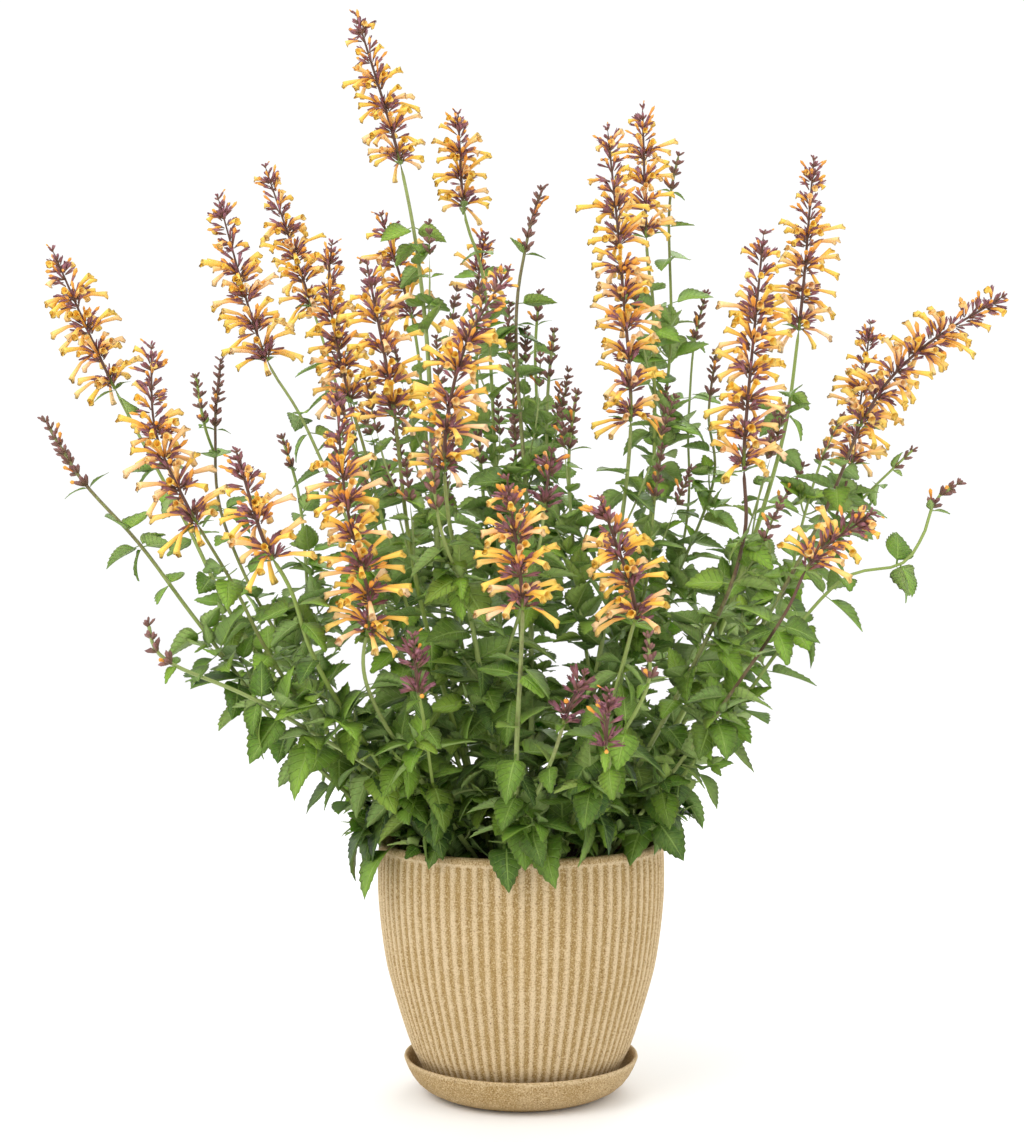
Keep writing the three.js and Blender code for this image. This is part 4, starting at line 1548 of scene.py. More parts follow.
@dataclass
class Saucer:
    """The clay saucer: a flat floor and a flared, curved wall with a rounded rim."""

    sides: int = 128
    foot: tuple[Range, ...] = ((30.0, 1.2), (64.0, 1.2), (68.0, 0.0), (72.0, 0.4))
    wall: tuple[Range, ...] = (
        *((80.0, 3.4), (87.5, 7.4), (93.0, 12.2)),
        *((97.2, 17.8), (100.4, 23.6), (102.6, 28.6)),
    )
    rim: tuple[Range, ...] = ((103.6, 31.4), (103.3, 32.7), (102.0, 33.2), (100.6, 32.4))
    inside: tuple[Range, ...] = ((99.0, 29.6), (96.4, 23.8), (93.2, 18.4), (89.0, 13.6), (84.0, 10.4))
    floor: tuple[Range, ...] = ((78.0, 9.7), (40.0, 9.7))
    rim_level: float = 31.0

    def build(self, clay: Material) -> None:
        """Models the saucer and dresses it.

        Args:
            clay: its material.
        """
        profile = [*self.foot, *self.wall, *self.rim, *self.inside, *self.floor]
        Workbench.rings(self.sides, profile, closed_start=True)
        template = Workbench.take(lambda point: (0.6 if point[2] > self.rim_level else 0.3, 0.0))
        Batch().make_whole(template, "clay_saucer", clay, Slot.CLAY, "saucer")


@dataclass
class PottingMix:
    """The potting mix: a crumbly, slightly crowned surface inside the pot's rim."""

    sides: int = 120
    ring_count: int = 30
    foot: float = 98.0
    edge: float = 117.0
    edge_height: float = 203.0
    crown: float = 207.0
    base: float = 150.0
    crumbs: tuple[Range, ...] = ((7.0, 5.0), (2.6, 3.0))

    def build(self, soil: Material) -> None:
        """Models the mix and dresses it.

        Args:
            soil: its material.
        """
        rings = [(self.foot, self.base), (self.edge - 1, self.edge_height - 4)]
        for share in np.linspace(1, 0.03, self.ring_count):
            rings.append((self.edge * float(share), lerp(self.crown, self.edge_height, float(share) ** 2)))
        Workbench.rings(self.sides, rings, closed_start=True)
        shape = bpy.context.object
        for size, strength in self.crumbs:
            crumbs = bpy.data.textures.new("crumbs", "CLOUDS")
            crumbs.noise_scale = size
            bpy.ops.object.modifier_add(type="DISPLACE")
            bump = shape.modifiers[0]
            bump.texture = crumbs
            bump.texture_coords = "LOCAL"
            bump.direction = "Z"
            bump.strength = strength
            bpy.ops.object.modifier_apply(modifier=bump.name)
        template = Workbench.take(lambda point: (0.0, 0.0))
        template.points[:, 2] = np.maximum(template.points[:, 2], self.base)
        batch = Batch()
        batch.add(template, template.points, (0.3, 0))
        batch.make("potting_mix", [soil], Slot.SOIL, ("soil",))


@dataclass
class Seat:
    """Where a small part sits: its root, the unit vectors that it and its stem point along, and its size."""

    root: Point
    way: Point
    along: Point
    size: float = 1.0


@dataclass
class Spikes:
    """The flower spikes: rings of cupped calyces with open flowers and buds, closed up at the tip."""

    CALYX = 1
    COROLLA = 2
    BUD = 3
    DARK = 8.0

    calyces: int = 15
    extra_flowers: int = 9
    top_flowers: int = 3
    ring_count: int = 5
    full_spike: float = 80.0
    axis: Range = (1.7, 0.9)
    stem_skin: float = 1.2
    calyx_foot: float = 1.5
    calyx_length: Range = (9.5, 12.5)
    calyx_lift: Range = (8.0, 66.0)
    flower_foot: float = 5.0
    flower_length: Range = (24.0, 41.0)
    flower_lift: Range = (-35.0, 48.0)
    flower_sag: float = 2.5
    bud_length: Range = (9.0, 21.0)
    closed_length: Range = (7.0, 10.0)
    young_bud_share: float = 0.12
    bud_share: Range = (0.2, 0.6)
    spread: Range = (-5.0, 6.0)
    top_spread: Range = (-10.0, 14.0)
    ripe_spread: float = 6.0
    tip_spacing: float = 5.5
    parts: FlowerParts = field(default_factory=FlowerParts)

    def __post_init__(self) -> None:
        """Models the parts once."""
        self.corolla = self.parts.corolla()
        self.bud = self.parts.bud()
        self.calyx = self.parts.calyx()
        self.closed = self.parts.closed()
        self.stalk = Stalks().build(24)

    def build(self, shoot: Shoot, whorls: list[Whorl], materials: list[Material]) -> None:
        """Models one spike and dresses it.

        Args:
            shoot: its stem.
            whorls: its rings of flowers.
            materials: stem, calyx, open flower and bud, in that order.
        """
        batch = Batch(SPIKE_SEED + shoot.index)
        start = shoot.foot - 3
        axis = Stalks.along(
            self.stalk,
            shoot,
            start,
            shoot.length,
            lambda at: lerp(*self.axis, (at - shoot.foot) / shoot.row.spike),
        )
        batch.add(self.stalk, axis, (self.DARK, 0))
        for whorl in whorls:
            self.add_whorl(batch, shoot, whorl)
        self.add_tip(batch, shoot, whorls[-1].at + 6)
        batch.make(f"spike_{shoot.name}", materials, Slot.FLOWER, (f"bloom_{shoot.name}",))

    def add_whorl(self, batch: Batch, shoot: Shoot, whorl: Whorl) -> None:
        """Adds a whorl's calyces, and a flower or bud in some of them.

        Args:
            batch: the piece.
            shoot: its stem.
            whorl: the ring.
        """
        young = shoot.row.spike < YOUNG_SPIKE
        at = whorl.at + FLOWER_RISE
        for mouth in whorl.flowers:
            if mouth is not None and young:
                way = mouth - shoot.point(at)
                seat = Seat(shoot.point(at), unit(way), shoot.along(whorl.at))
                self.add_bud(batch, seat, float(np.linalg.norm(way)) - self.flower_foot)
            elif mouth is not None:
                self.add_flower(batch, shoot, at, mouth, whorl.ripe)
        if not young:
            self.add_extra_flowers(batch, shoot, whorl)
        self.add_calyces(batch, shoot, whorl)

    def add_extra_flowers(self, batch: Batch, shoot: Shoot, whorl: Whorl) -> None:
        """Adds the open flowers between a whorl's set ones.

        Args:
            batch: the piece.
            shoot: their stem.
            whorl: the ring.
        """
        draw = batch.draw
        ripe = whorl.ripe
        low, high = self.flower_lift
        full = whorl.size == 1 and shoot.row.spike > self.full_spike
        extra = self.extra_flowers if full else self.top_flowers
        for k in range(extra):
            angle = whorl.turn + (k + draw.between(-0.5, 0.5)) * CIRCLE / extra
            lift = math.radians(draw.between(low + 25 * ripe, high))
            at = whorl.at + draw.between(self.spread[0], self.spread[1] + self.ripe_spread * ripe)
            length = draw.between(*self.flower_length) * (1 - 0.25 * ripe) * (0.3 + 0.7 * whorl.size)
            mouth = shoot.point(at) + shoot.reach(at, angle, lift, length)
            self.add_flower(batch, shoot, at, mouth, ripe)

    def add_calyces(self, batch: Batch, shoot: Shoot, whorl: Whorl) -> None:
        """Adds a whorl's calyces that have no open flower, some of them with a bud.

        Args:
            batch: the piece.
            shoot: their stem.
            whorl: the ring.
        """
        draw = batch.draw
        young = shoot.row.spike < YOUNG_SPIKE
        share = self.young_bud_share if young else lerp(*self.bud_share, whorl.ripe)
        low, high = self.spread if whorl.size == 1 else self.top_spread
        high += self.ripe_spread * whorl.ripe if whorl.size == 1 else 0
        for k in range(self.calyces):
            angle = whorl.turn + (k + draw.between(-0.35, 0.35)) * CIRCLE / self.calyces
            lift = math.radians(draw.between(*self.calyx_lift))
            at = whorl.at + draw.between(low, high)
            size = (0.5 + 0.5 * whorl.size) * draw.between(0.8, 1.05)
            root = shoot.point(at) + shoot.out(at, angle) * self.stem_skin
            seat = Seat(root, shoot.reach(at, angle, lift, 1), shoot.along(at), size)
            if draw.chance(share):
                self.add_bud(batch, seat)
            else:
                self.add_calyx(batch, seat)

    @staticmethod
    def laid(
        template: Template, seat: Seat, start: float, length: float, arch: float, girth: float
    ) -> np.ndarray:
        """Lays a template out from its seat.

        Args:
            template: a shape along Z, one unit long.
            seat: where it sits.
            start: how far from the seat's root it starts.
            length: its length.
            arch: how far its middle is drawn along the stem.
            girth: how much its width is scaled.

        Returns:
            The template's points.
        """
        root = seat.root + seat.way * start
        end = root + seat.way * length
        arc = Arc(root, (root + end) / 2 + seat.along * arch, end)
        return arc.bend(template, seat.along + 0.01 * seat.way, girth)

    def add_calyx(self, batch: Batch, seat: Seat) -> None:
        """Adds an empty calyx.

        Args:
            batch: the piece.
            seat: where it sits.
        """
        draw = batch.draw
        length = draw.between(*self.calyx_length) * seat.size + 1
        arch = draw.between(0.2, 1.2)
        girth = draw.between(0.85, 1.1) * seat.size**0.5
        points = self.laid(self.calyx, seat, self.calyx_foot, length, arch, girth)
        batch.add_varied(self.calyx, points, self.CALYX)

    def add_flower(self, batch: Batch, shoot: Shoot, at: float, mouth: Point, ripe: float) -> None:
        """Adds an open flower from a calyx on the stem to its mouth.

        Args:
            batch: the piece.
            shoot: its stem.
            at: its distance along the stem.
            mouth: the middle of its mouth.
            ripe: how far up the spike it is, from nought to one.
        """
        draw = batch.draw
        axis = shoot.point(at)
        along = shoot.along(at)
        reach = mouth - axis
        way = unit(unit(reach) + along * draw.between(0.1, 0.5))
        root = axis + way * self.calyx_foot
        self.add_calyx(batch, Seat(root, way, along))
        start = root + way * self.flower_foot
        end = mouth - UP * draw.between(0, self.flower_sag)
        arc = Arc(start, start + way * float(np.linalg.norm(reach)) * 0.36, end)
        age = held(draw.between(-0.5, 1) - 0.35 * ripe)
        points = arc.bend(self.corolla, along, draw.between(0.92, 1.15))
        batch.add(self.corolla, points, (age, draw.between(0, 1)), self.COROLLA)

    def add_bud(self, batch: Batch, seat: Seat, length: float = 0) -> None:
        """Adds a closed flower in its calyx.

        Args:
            batch: the piece.
            seat: where its calyx sits.
            length: how far it stands out of its calyx, or nought for any length.
        """
        draw = batch.draw
        self.add_calyx(batch, seat)
        length = length or draw.between(*self.bud_length) * seat.size
        arch = draw.between(0, 1.5)
        girth = draw.between(0.75, 1.05) * seat.size
        points = self.laid(self.bud, seat, self.flower_foot, length, arch, girth)
        batch.add_varied(self.bud, points, self.BUD)

    def add_tip(self, batch: Batch, shoot: Shoot, start: float) -> None:
        """Adds the rings of closed calyces and small buds that close up to the spike's end.

        Args:
            batch: the piece.
            shoot: their stem.
            start: the distance of the first ring along the stem.
        """
        steps = max(int((shoot.length - start) / self.tip_spacing), 2)
        for step in range(steps):
            share = step / (steps - 1)
            at = lerp(start, shoot.length - 2, share)
            along = shoot.along(at)
            side = shoot.out(at, step * 0.63)
            size = lerp(1.2, 0.65, share)
            self.add_ring(batch, Seat(shoot.point(at), side, along, size), self.CALYX)
            if step % 2 == 0:
                way = unit(turned(side, along, batch.draw.between(0, 6)) + 0.7 * along)
                self.add_bud(batch, Seat(shoot.point(at), way, along, size * 0.6))

    def add_ring(self, batch: Batch, seat: Seat, slot: int) -> None:
        """Adds a ring of small closed calyces round a stem.

        Args:
            batch: the piece.
            seat: the ring's middle, the way to its first calyx, the stem's way and the calyces' size.
            slot: the number of their material.
        """
        draw = batch.draw
        for k in range(self.ring_count):
            across = turned(seat.way, seat.along, (k + draw.between(-0.4, 0.4)) * CIRCLE / self.ring_count)
            way = unit(across + seat.along * draw.between(0.6, 1.5))
            one = Seat(seat.root + seat.along * draw.between(-1.8, 1.8), way, seat.along, seat.size)
            length = draw.between(*self.closed_length) * seat.size
            batch.add_varied(self.closed, self.laid(self.closed, one, 0, length, 0.5, seat.size), slot)


@dataclass
class Foliage:
    """The leafy stems: square, with pairs of toothed leaves, short shoots in their axils, and bud spikes."""

    LEAF = 1
    CALYX = 3
    BUD = 4

    spikes: Spikes
    node_start: float = 30.0
    side_node_start: float = 12.0
    node_spacing: float = 38.0
    leaf_length: Range = (32.0, 54.0)
    leaf_shrink: Range = (1.05, 0.72)
    leaf_droop: Range = (-0.3, 0.5)
    brown_share: float = 0.22
    brown: Range = (0.6, 0.85)
    green: Range = (0.1, 0.45)
    axil_top: float = 0.62
    axil_share: float = 0.6
    front_axil_share: float = 0.35
    front: float = -30.0
    front_level: float = 250.0
    axil_length: Range = (12.0, 38.0)
    budding_share: float = 0.36
    budding_length: Range = (35.0, 105.0)
    budding_spike: Range = (24.0, 46.0)
    budding_spacing: float = 7.5
    bud_level: float = 440.0
    bud_top: float = 770.0
    bud_reach: float = 270.0
    bud_spacing: float = 8.5
    first_bud: Range = (12.0, 18.0)
    first_bud_foot: float = 4.0
    sprig_shares: tuple[float, ...] = (0.5, 0.8, 1)
    sprig_rises: tuple[float, ...] = (0.5, 0.6, 1.3)
    sprig_sizes: tuple[float, ...] = (1, 0.8, 0.42)
    sprig_leaf: Range = (30.0, 50.0)
    bract: Range = (15.0, 24.0)

    def __post_init__(self) -> None:
        """Models the parts once."""
        self.leaves = Leaves(LeafShape().build(), LeafShape(teeth=4, petiole=0.14, tooth=0.075).build())
        self.stalk = Stalks().build(44)
        self.twig = Stalks(ridge=0).build(4, 6)

    def build(
        self, shoots: list[Shoot], pairs: dict[str, list[Pair]], materials: list[Material]
    ) -> None:
        """Models a rooted stem with all its side shoots and dresses it.

        Args:
            shoots: the rooted stem, then its side shoots.
            pairs: each shoot's leaf pairs, by name.
            materials: stem, leaf face, leaf underside, calyx and bud, in that order.
        """
        batch = Batch()
        for shoot in shoots:
            batch.draw = Draw(FOLIAGE_SEED + shoot.index)
            self.add_stem(batch, shoot)
            for pair in pairs[shoot.name]:
                self.add_pair(batch, shoot, pair)
            self.add_nodes(batch, shoot)
            self.add_bracts(batch, shoot)
            if not shoot.row.bloom:
                self.add_buds(batch, shoot)
        root = shoots[0]
        batch.make(f"leafy_{root.name}", materials, Slot.FOLIAGE, (f"stem_{root.name}",))

    def add_stem(self, batch: Batch, shoot: Shoot) -> None:
        """Adds the square stem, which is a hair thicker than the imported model's and may have turned brown.

        Args:
            batch: the piece.
            shoot: the stem.
        """
        draw = batch.draw
        end = shoot.foot if shoot.row.bloom else shoot.length
        points = Stalks.along(self.stalk, shoot, 0, end, lambda at: shoot.radius(at) * 1.02)
        ripe = draw.between(*(self.brown if draw.chance(self.brown_share) else self.green))
        ripe += 0.15 if shoot.row.bloom else 0
        batch.add(self.stalk, points, (ripe, draw.between(0, 1)))

    def add_pair(self, batch: Batch, shoot: Shoot, pair: Pair) -> None:
        """Adds a node's two large leaves."""
        light = self.light(shoot.point(pair.at))
        for blade in filter(None, pair.leaves):
            self.leaves.add(batch, blade, light, self.LEAF)

    @staticmethod
    def light(place: Point) -> float:
        """Returns how light the leaves are at a place, from nought to one: lighter further up and out.

        This is painted shade and light: leaves low down and near the bush's middle are darker, where the plant
        shades them, and those up and out lighter.
        """
        up = held((place[2] - 220) / 350)
        outward = held((math.hypot(place[0], place[1]) - 60) / 160)
        return 0.1 + 0.4 * up + 0.3 * outward

    def add_nodes(self, batch: Batch, shoot: Shoot) -> None:
        """Adds the smaller leaf pairs between the large ones, and short shoots in some of their axils.

        Args:
            batch: the piece.
            shoot: their stem.
        """
        draw = batch.draw
        start = self.side_node_start if shoot.parent else self.node_start
        for number in range(int((shoot.foot - start - 8) / self.node_spacing)):
            at = start + self.node_spacing * (number + draw.between(0.2, 0.8))
            place = shoot.point(at)
            height = at / shoot.foot
            light = self.light(place)
            front = place[1] < self.front and place[2] > self.front_level
            for face in (number % 2, number % 2 + 2):
                angle = (face + 0.5) * QUARTER + draw.between(-0.4, 0.4)
                size = draw.between(*self.leaf_length) * lerp(*self.leaf_shrink, height)
                out = shoot.reach(at, angle, draw.between(-0.1, 0.5), 1)
                self.add_small(batch, place, out - UP * draw.between(*self.leaf_droop), size, light)
                axil_share = self.front_axil_share if front else self.axil_share
                if height < self.axil_top and draw.chance(axil_share):
                    self.add_axil(batch, shoot, at, angle, light)
                elif place[2] > self.bud_level and draw.chance(self.budding_share):
                    self.add_budding(batch, shoot, at, angle, light)

    def add_axil(self, batch: Batch, shoot: Shoot, at: float, angle: float, light: float) -> None:
        """Adds a short shoot with a few pairs of small leaves.

        Args:
            batch: the piece.
            shoot: its stem.
            at: its distance along the stem.
            angle: its angle round the stem.
            light: how light its leaves are.
        """
        draw = batch.draw
        length = draw.between(*self.axil_length)
        lift = math.radians(draw.between(15, 55))
        turn = angle + draw.between(-0.3, 0.3)
        root = shoot.point(at + 2)
        way = shoot.reach(at, turn, lift, 1)
        end = root + unit(way + 0.5 * shoot.along(at)) * length
        arc = Arc(root, root + way * length * 0.5, end)
        self.add_sprig(batch, arc, draw.between(0.75, 1.15), light)

    def add_budding(self, batch: Batch, shoot: Shoot, at: float, angle: float, light: float) -> None:
        """Adds a thin upright shoot that ends in a small spike still in bud, where there is room for one.

        Args:
            batch: the piece.
            shoot: its stem.
            at: its distance along the stem.
            angle: its angle round the stem.
            light: how light its leaves are.
        """
        draw = batch.draw
        root = shoot.point(at)
        way = shoot.reach(at, angle, math.radians(draw.between(35, 60)), 1)
        end = root + unit(way + 1.5 * shoot.along(at)) * draw.between(*self.budding_length)
        middle = root + way * draw.between(10, 22)
        past = np.linalg.norm(end - shoot.point(shoot.foot)) > shoot.foot - at + 20
        if past or end[2] > self.bud_top or math.hypot(end[0], end[1]) > self.bud_reach:
            return
        self.add_sprig(batch, Arc(root, middle, end), 0.55, light)
        rise = unit(end - middle)
        side = unit(np.cross(rise, np.array([0.1, 1.0, 0.0])))
        length = draw.between(*self.budding_spike)
        steps = int(length / self.budding_spacing)
        for step in range(steps + 1):
            share = step / steps
            centre = end + rise * length * share**0.85
            seat = Seat(centre, turned(side, rise, step * 0.5), rise, lerp(1.2, 0.75, share))
            self.spikes.add_ring(batch, seat, self.CALYX)
            if draw.chance(0.3 * (1 - share)):
                self.add_first_bud(batch, seat)
        tip = Arc(end, end + rise * length / 2, end + rise * length)
        batch.add(self.twig, tip.bend(self.twig, side, 0.7), (0.9, 0))

    def add_sprig(self, batch: Batch, arc: Arc, size: float, light: float) -> None:
        """Adds a short leafy shoot along a curve, unless it would end in the pot.

        Args:
            batch: the piece.
            arc: the curve.
            size: how much larger its leaves are than usual.
            light: how light their green is.
        """
        if not clear_of_pot(arc.end, 5):
            return
        draw = batch.draw
        batch.add(self.twig, arc.bend(self.twig, np.array([0.31, 0.2, 0.93]), 0.9), (0.1, 1))
        way = unit(arc.end - arc.middle)
        side = unit(np.cross(way, UP))
        steps = zip(self.sprig_shares, self.sprig_rises, self.sprig_sizes)
        for number, (share, rise, shrink) in enumerate(steps):
            across = side if number % 2 else unit(np.cross(side, way))
            for face in (-1, 1):
                out = unit(face * across + way * rise) - UP * draw.between(*self.leaf_droop)
                length = size * draw.between(*self.sprig_leaf) * shrink
                self.add_small(batch, arc.at(share), out, length, light + 0.12)

    def add_small(self, batch: Batch, root: Point, out: Point, size: float, light: float) -> None:
        """Adds a small leaf, unless it would cut into the pot.

        Args:
            batch: the piece.
            root: where it starts.
            out: the way that it points, at any length.
            size: its length.
            light: how light its green is.
        """
        draw = batch.draw
        out = unit(out)
        up = turned(level_over(out), out, draw.between(-0.7, 0.7))
        blade = Blade(root, out, up, size, draw.between(0.05, 0.7))
        blade.half_width *= draw.between(0.9, 1.15)
        if blade.misses_pot():
            self.leaves.add(batch, blade, light, self.LEAF)

    def add_bracts(self, batch: Batch, shoot: Shoot) -> None:
        """Adds the pair of narrow leaves under a spike.

        Args:
            batch: the piece.
            shoot: their stem.
        """
        draw = batch.draw
        at = shoot.foot - 4
        for face in (0, 2):
            out = shoot.reach(at, face * QUARTER + draw.between(-0.3, 0.3), draw.between(0.1, 0.7), 1)
            length = draw.between(*self.bract)
            blade = Blade(shoot.point(at), out, level_over(out), length, draw.between(0.3, 0.9))
            blade.half_width *= 0.62
            self.leaves.add(batch, blade, 0.7, self.LEAF)

    def add_buds(self, batch: Batch, shoot: Shoot) -> None:
        """Adds a spike that is still in bud: small closed calyces in rings that close up to its end.

        Args:
            batch: the piece.
            shoot: its stem.
        """
        count = max(int(shoot.row.spike / self.bud_spacing), 3)
        for step in range(count):
            share = step / (count - 1)
            at = shoot.foot + (shoot.row.spike - 4) * share**0.85
            size = lerp(1.35, 0.85, share)
            seat = Seat(shoot.point(at), shoot.out(at, step * 0.5), shoot.along(at), size)
            self.spikes.add_ring(batch, seat, self.CALYX)
            if batch.draw.chance(0.7 * (1 - share)):
                self.add_first_bud(batch, seat)

    def add_first_bud(self, batch: Batch, ring: Seat) -> None:
        """Adds the first orange bud of a ring that is still closed.

        Args:
            batch: the piece.
            ring: the ring's seat.
        """
        seat = Seat(ring.root, unit(ring.way + ring.along), ring.along)
        length = batch.draw.between(*self.first_bud) - self.first_bud_foot
        template = self.spikes.bud
        points = self.spikes.laid(template, seat, self.first_bud_foot, length, 1, 0.8)
        batch.add_varied(template, points, self.BUD)


@dataclass
class RimLeaf:
    """A large leaf low in front: its root and tip as seen from there, its bend, its roll and its light.

    Its light is how light its green is, which paints the light and shade on it.
    """

    root: Place
    tip: Place
    bend: float
    roll: float
    light: float


# The last column is each leaf's light, which paints the light and shade on it.
RIM_LEAVES = [
    RimLeaf((-113, 217, -62), (-142, 169, -80), 1.0, 0.2, 0.45),
    RimLeaf((-14, 218, -118), (-14, 174, -146), 1.1, 0.1, 0.05),
    RimLeaf((23, 226, -118), (18, 176, -150), 1.2, 0.4, 0.15),
    RimLeaf((115, 247, -60), (99, 198, -100), 0.9, -0.1, 0.3),
    RimLeaf((-90, 260, -95), (-72, 203, -125), 0.7, 0.1, 0.05),
    RimLeaf((1, 252, -110), (-7, 220, -132), 0.6, -0.5, 0.95),
    RimLeaf((44, 240, -100), (59, 215, -118), 0.8, 0.2, 1.0),
    RimLeaf((73, 241, -90), (78, 214, -112), 0.6, -0.3, 1.0),
    RimLeaf((-36, 266, -112), (-57, 238, -128), 0.5, 0.3, 0.6),
    RimLeaf((-92, 319, -120), (-94, 289, -134), 0.3, 0.2, 0.85),
    RimLeaf((-7, 353, -135), (-16, 304, -155), 0.4, 0.3, 0.2),
    RimLeaf((68, 311, -125), (104, 266, -140), 0.5, -0.2, 0.2),
    RimLeaf((-84, 277, -128), (-54, 282, -140), 0.5, 0.5, 0.7),
    RimLeaf((-107, 286, -118), (-138, 271, -130), 0.5, -0.4, 0.5),
]


@dataclass
class LowShoots:
    """Short leafy shoots from the soil near the rim, and the large leaves that lean out over it in front."""

    foliage: Foliage
    stems: list[Shoot]
    count: int = 26
    front: float = -0.55
    ring: Range = (60.0, 98.0)
    spread: Range = (98.0, 124.0)
    rise: Range = (26.0, 62.0)
    sunk: float = 6.0
    lean: tuple[float, ...] = (0.3, 0.3, 0.9)
    high: float = 275.0
    hanging_length: Range = (38.0, 64.0)
    hanging_tries: tuple[Range, ...] = ((-0.3, 2.0), (-0.1, 1.9), (0.2, 1.7), (0.5, 1.4))
    test_shares: tuple[float, ...] = (0.1, 0.2, 0.3, 0.4, 0.5, 0.6, 0.7, 0.8, 0.9)

    def build(self, materials: list[Material]) -> None:
        """Models the shoots and dresses them.

        Args:
            materials: stem, leaf face, leaf underside and calyx, in that order.
        """
        batch = Batch(LOW_SEED)
        draw = batch.draw
        for number in range(self.count):
            angle = (number + draw.between(-0.4, 0.4)) * CIRCLE / self.count
            out = np.array([math.cos(angle), math.sin(angle), 0.0])
            root = out * draw.between(*self.ring) + UP * (SOIL_CROWN - self.sunk)
            tip = out * draw.between(*self.spread) + UP * (SOIL_CROWN + draw.between(*self.rise))
            middle = root + (tip - root) * np.array(self.lean)
            # Their leaves take the darkest green, the painted shade low down by the soil.
            if out[1] > self.front:
                self.foliage.add_sprig(batch, Arc(root, middle, tip), draw.between(0.9, 1.3), 0.0)
                self.add_over_rim(batch, tip, out)
            elif number % 2:
                self.foliage.add_sprig(batch, Arc(root, (root + middle) / 2, (root + tip) / 2), 0.8, 0.0)
        for leaf in RIM_LEAVES:
            self.add_rim_leaf(batch, leaf)
        batch.make("low_shoots", materials, Slot.FOLIAGE)

    def add_rim_leaf(self, batch: Batch, leaf: RimLeaf) -> None:
        """Adds a large leaf on a thin shoot of its own, unless it would cut into the pot.

        Args:
            batch: the piece.
            leaf: its place and shape.
        """
        root = from_front(leaf.root)
        chord = from_front(leaf.tip) - root
        length = float(np.linalg.norm(chord))
        level = unit(np.array([chord[1], -chord[0], 0.0]))
        out = turned(unit(chord), level, leaf.bend / 2)
        if out[2] < chord[2] / length:
            out = turned(unit(chord), level, -leaf.bend / 2)
        blade = Blade(root, out, turned(level_over(out), out, leaf.roll), length, leaf.bend)
        sides = [left * blade.half_width for left in (-0.9, 0, 0.9)]
        places = [blade.at(share, left, 0)[0] for share in self.test_shares for left in sides]
        if not all(clear_of_pot(place, 0.8) for place in places):
            log.info("a leaf near the rim at %s has no room", root.round())
            return
        foot = self.foot_of(root)
        middle = (foot + root) / 2 + UP * (0.25 * float(np.linalg.norm(root - foot)))
        self.foliage.add_sprig(batch, Arc(foot, middle, root), batch.draw.between(0.4, 0.6), leaf.light)
        self.foliage.leaves.add(batch, blade, leaf.light, self.foliage.LEAF)

    def foot_of(self, place: Point) -> Point:
        """Finds where a leaf's thin shoot starts.

        Args:
            place: the leaf's root.

        Returns:
            A point in the soil, or on the nearest stem where the leaf sits high.
        """
        if place[2] < self.high:
            return np.array([place[0] * 0.6, place[1] * 0.6, SOIL_CROWN - self.sunk])
        places = [stem.point(at) for stem in self.stems for at in np.arange(40, stem.foot, 12)]
        below = [point for point in places if point[2] < place[2] - 6]
        return min(below, key=lambda point: float(np.linalg.norm(point - place)))

    def add_over_rim(self, batch: Batch, place: Point, out: Point) -> None:
        """Adds large leaves that lean out over the rim and hang, each the first of a few tries clear of it.

        Args:
            batch: the piece.
            place: where they start.
            out: the unit vector away from the pot's middle.
        """
        draw = batch.draw
        side = np.array([-out[1], out[0], 0.0])
        for face in (-1, 1):
            across = side * (face * 0.6 + draw.between(-0.3, 0.3))
            length = draw.between(*self.hanging_length)
            light = draw.between(0, 0.5)
            for rise, bend in self.hanging_tries:
                way = unit(out + across + UP * rise)
                blade = Blade(place, way, turned(level_over(way), way, 0.3 * face), length, bend)
                if blade.misses_pot():
                    self.foliage.leaves.add(batch, blade, light, self.foliage.LEAF)
                    break


class Looks:
    """Every material of the object, built once."""

    def __init__(self) -> None:
        """Builds the materials."""
        self.clay = ClayFinish(
            "unglazed clay", 0.85, hollow=linear(160, 131, 78), worn_and_lit_rib=linear(208, 185, 148)
        ).build()
        self.soil = SoilFinish("potting mix", 0.95, dark=linear(38, 28, 22), bark=linear(84, 60, 42)).build()
        young, old = linear(132, 154, 62), linear(98, 66, 52)
        self.stem = StemFinish("square stem", 0.55, young=young, old=old).build()
        self.leaf = self.blade("leaf face", 0.5, -1.0, (32, 60, 24), (138, 176, 58), (162, 190, 98))
        self.under = self.blade("leaf underside", 0.65, 1.0, (94, 122, 58), (144, 168, 92), (172, 190, 118))
        self.calyx = self.petal(
            "calyx", 0.55, 0.05, (128, 94, 70), (116, 56, 66), (122, 90, 72), (166, 106, 122)
        )
        self.corolla = self.petal(
            "open flower", 0.5, 0.1, (238, 162, 54), (252, 212, 92), (240, 168, 116), (252, 214, 172)
        )
        self.bud = self.petal(
            "flower bud", 0.45, 0.06, (190, 110, 60), (240, 158, 44), (214, 124, 70), (244, 182, 70)
        )
        self.budding = self.petal(
            "budding calyx", 0.6, 0.08, (108, 84, 62), (112, 68, 66), (114, 90, 66), (146, 100, 96)
        )

    @staticmethod
    def blade(name: str, roughness: float, vein_depth: float, *tones: tuple[int, int, int]) -> Material:
        """Builds a leaf's finish from its dark, its light and its vein colour."""
        dark, light, vein = (linear(*tone) for tone in tones)
        finish = LeafFinish(name, roughness, dark=dark, light=light, vein=vein, vein_depth=vein_depth)
        return finish.build()

    @staticmethod
    def petal(name: str, roughness: float, translucence: float, *tones: tuple[int, int, int]) -> Material:
        """Builds a flower part's finish from the colours of its root and mouth, young and then old."""
        root, mouth, old_root, old_mouth = (linear(*tone) for tone in tones)
        young, old = {"root": root, "mouth": mouth}, {"old_root": old_root, "old_mouth": old_mouth}
        return PetalFinish(name, roughness, **young, **old, translucence=translucence).build()


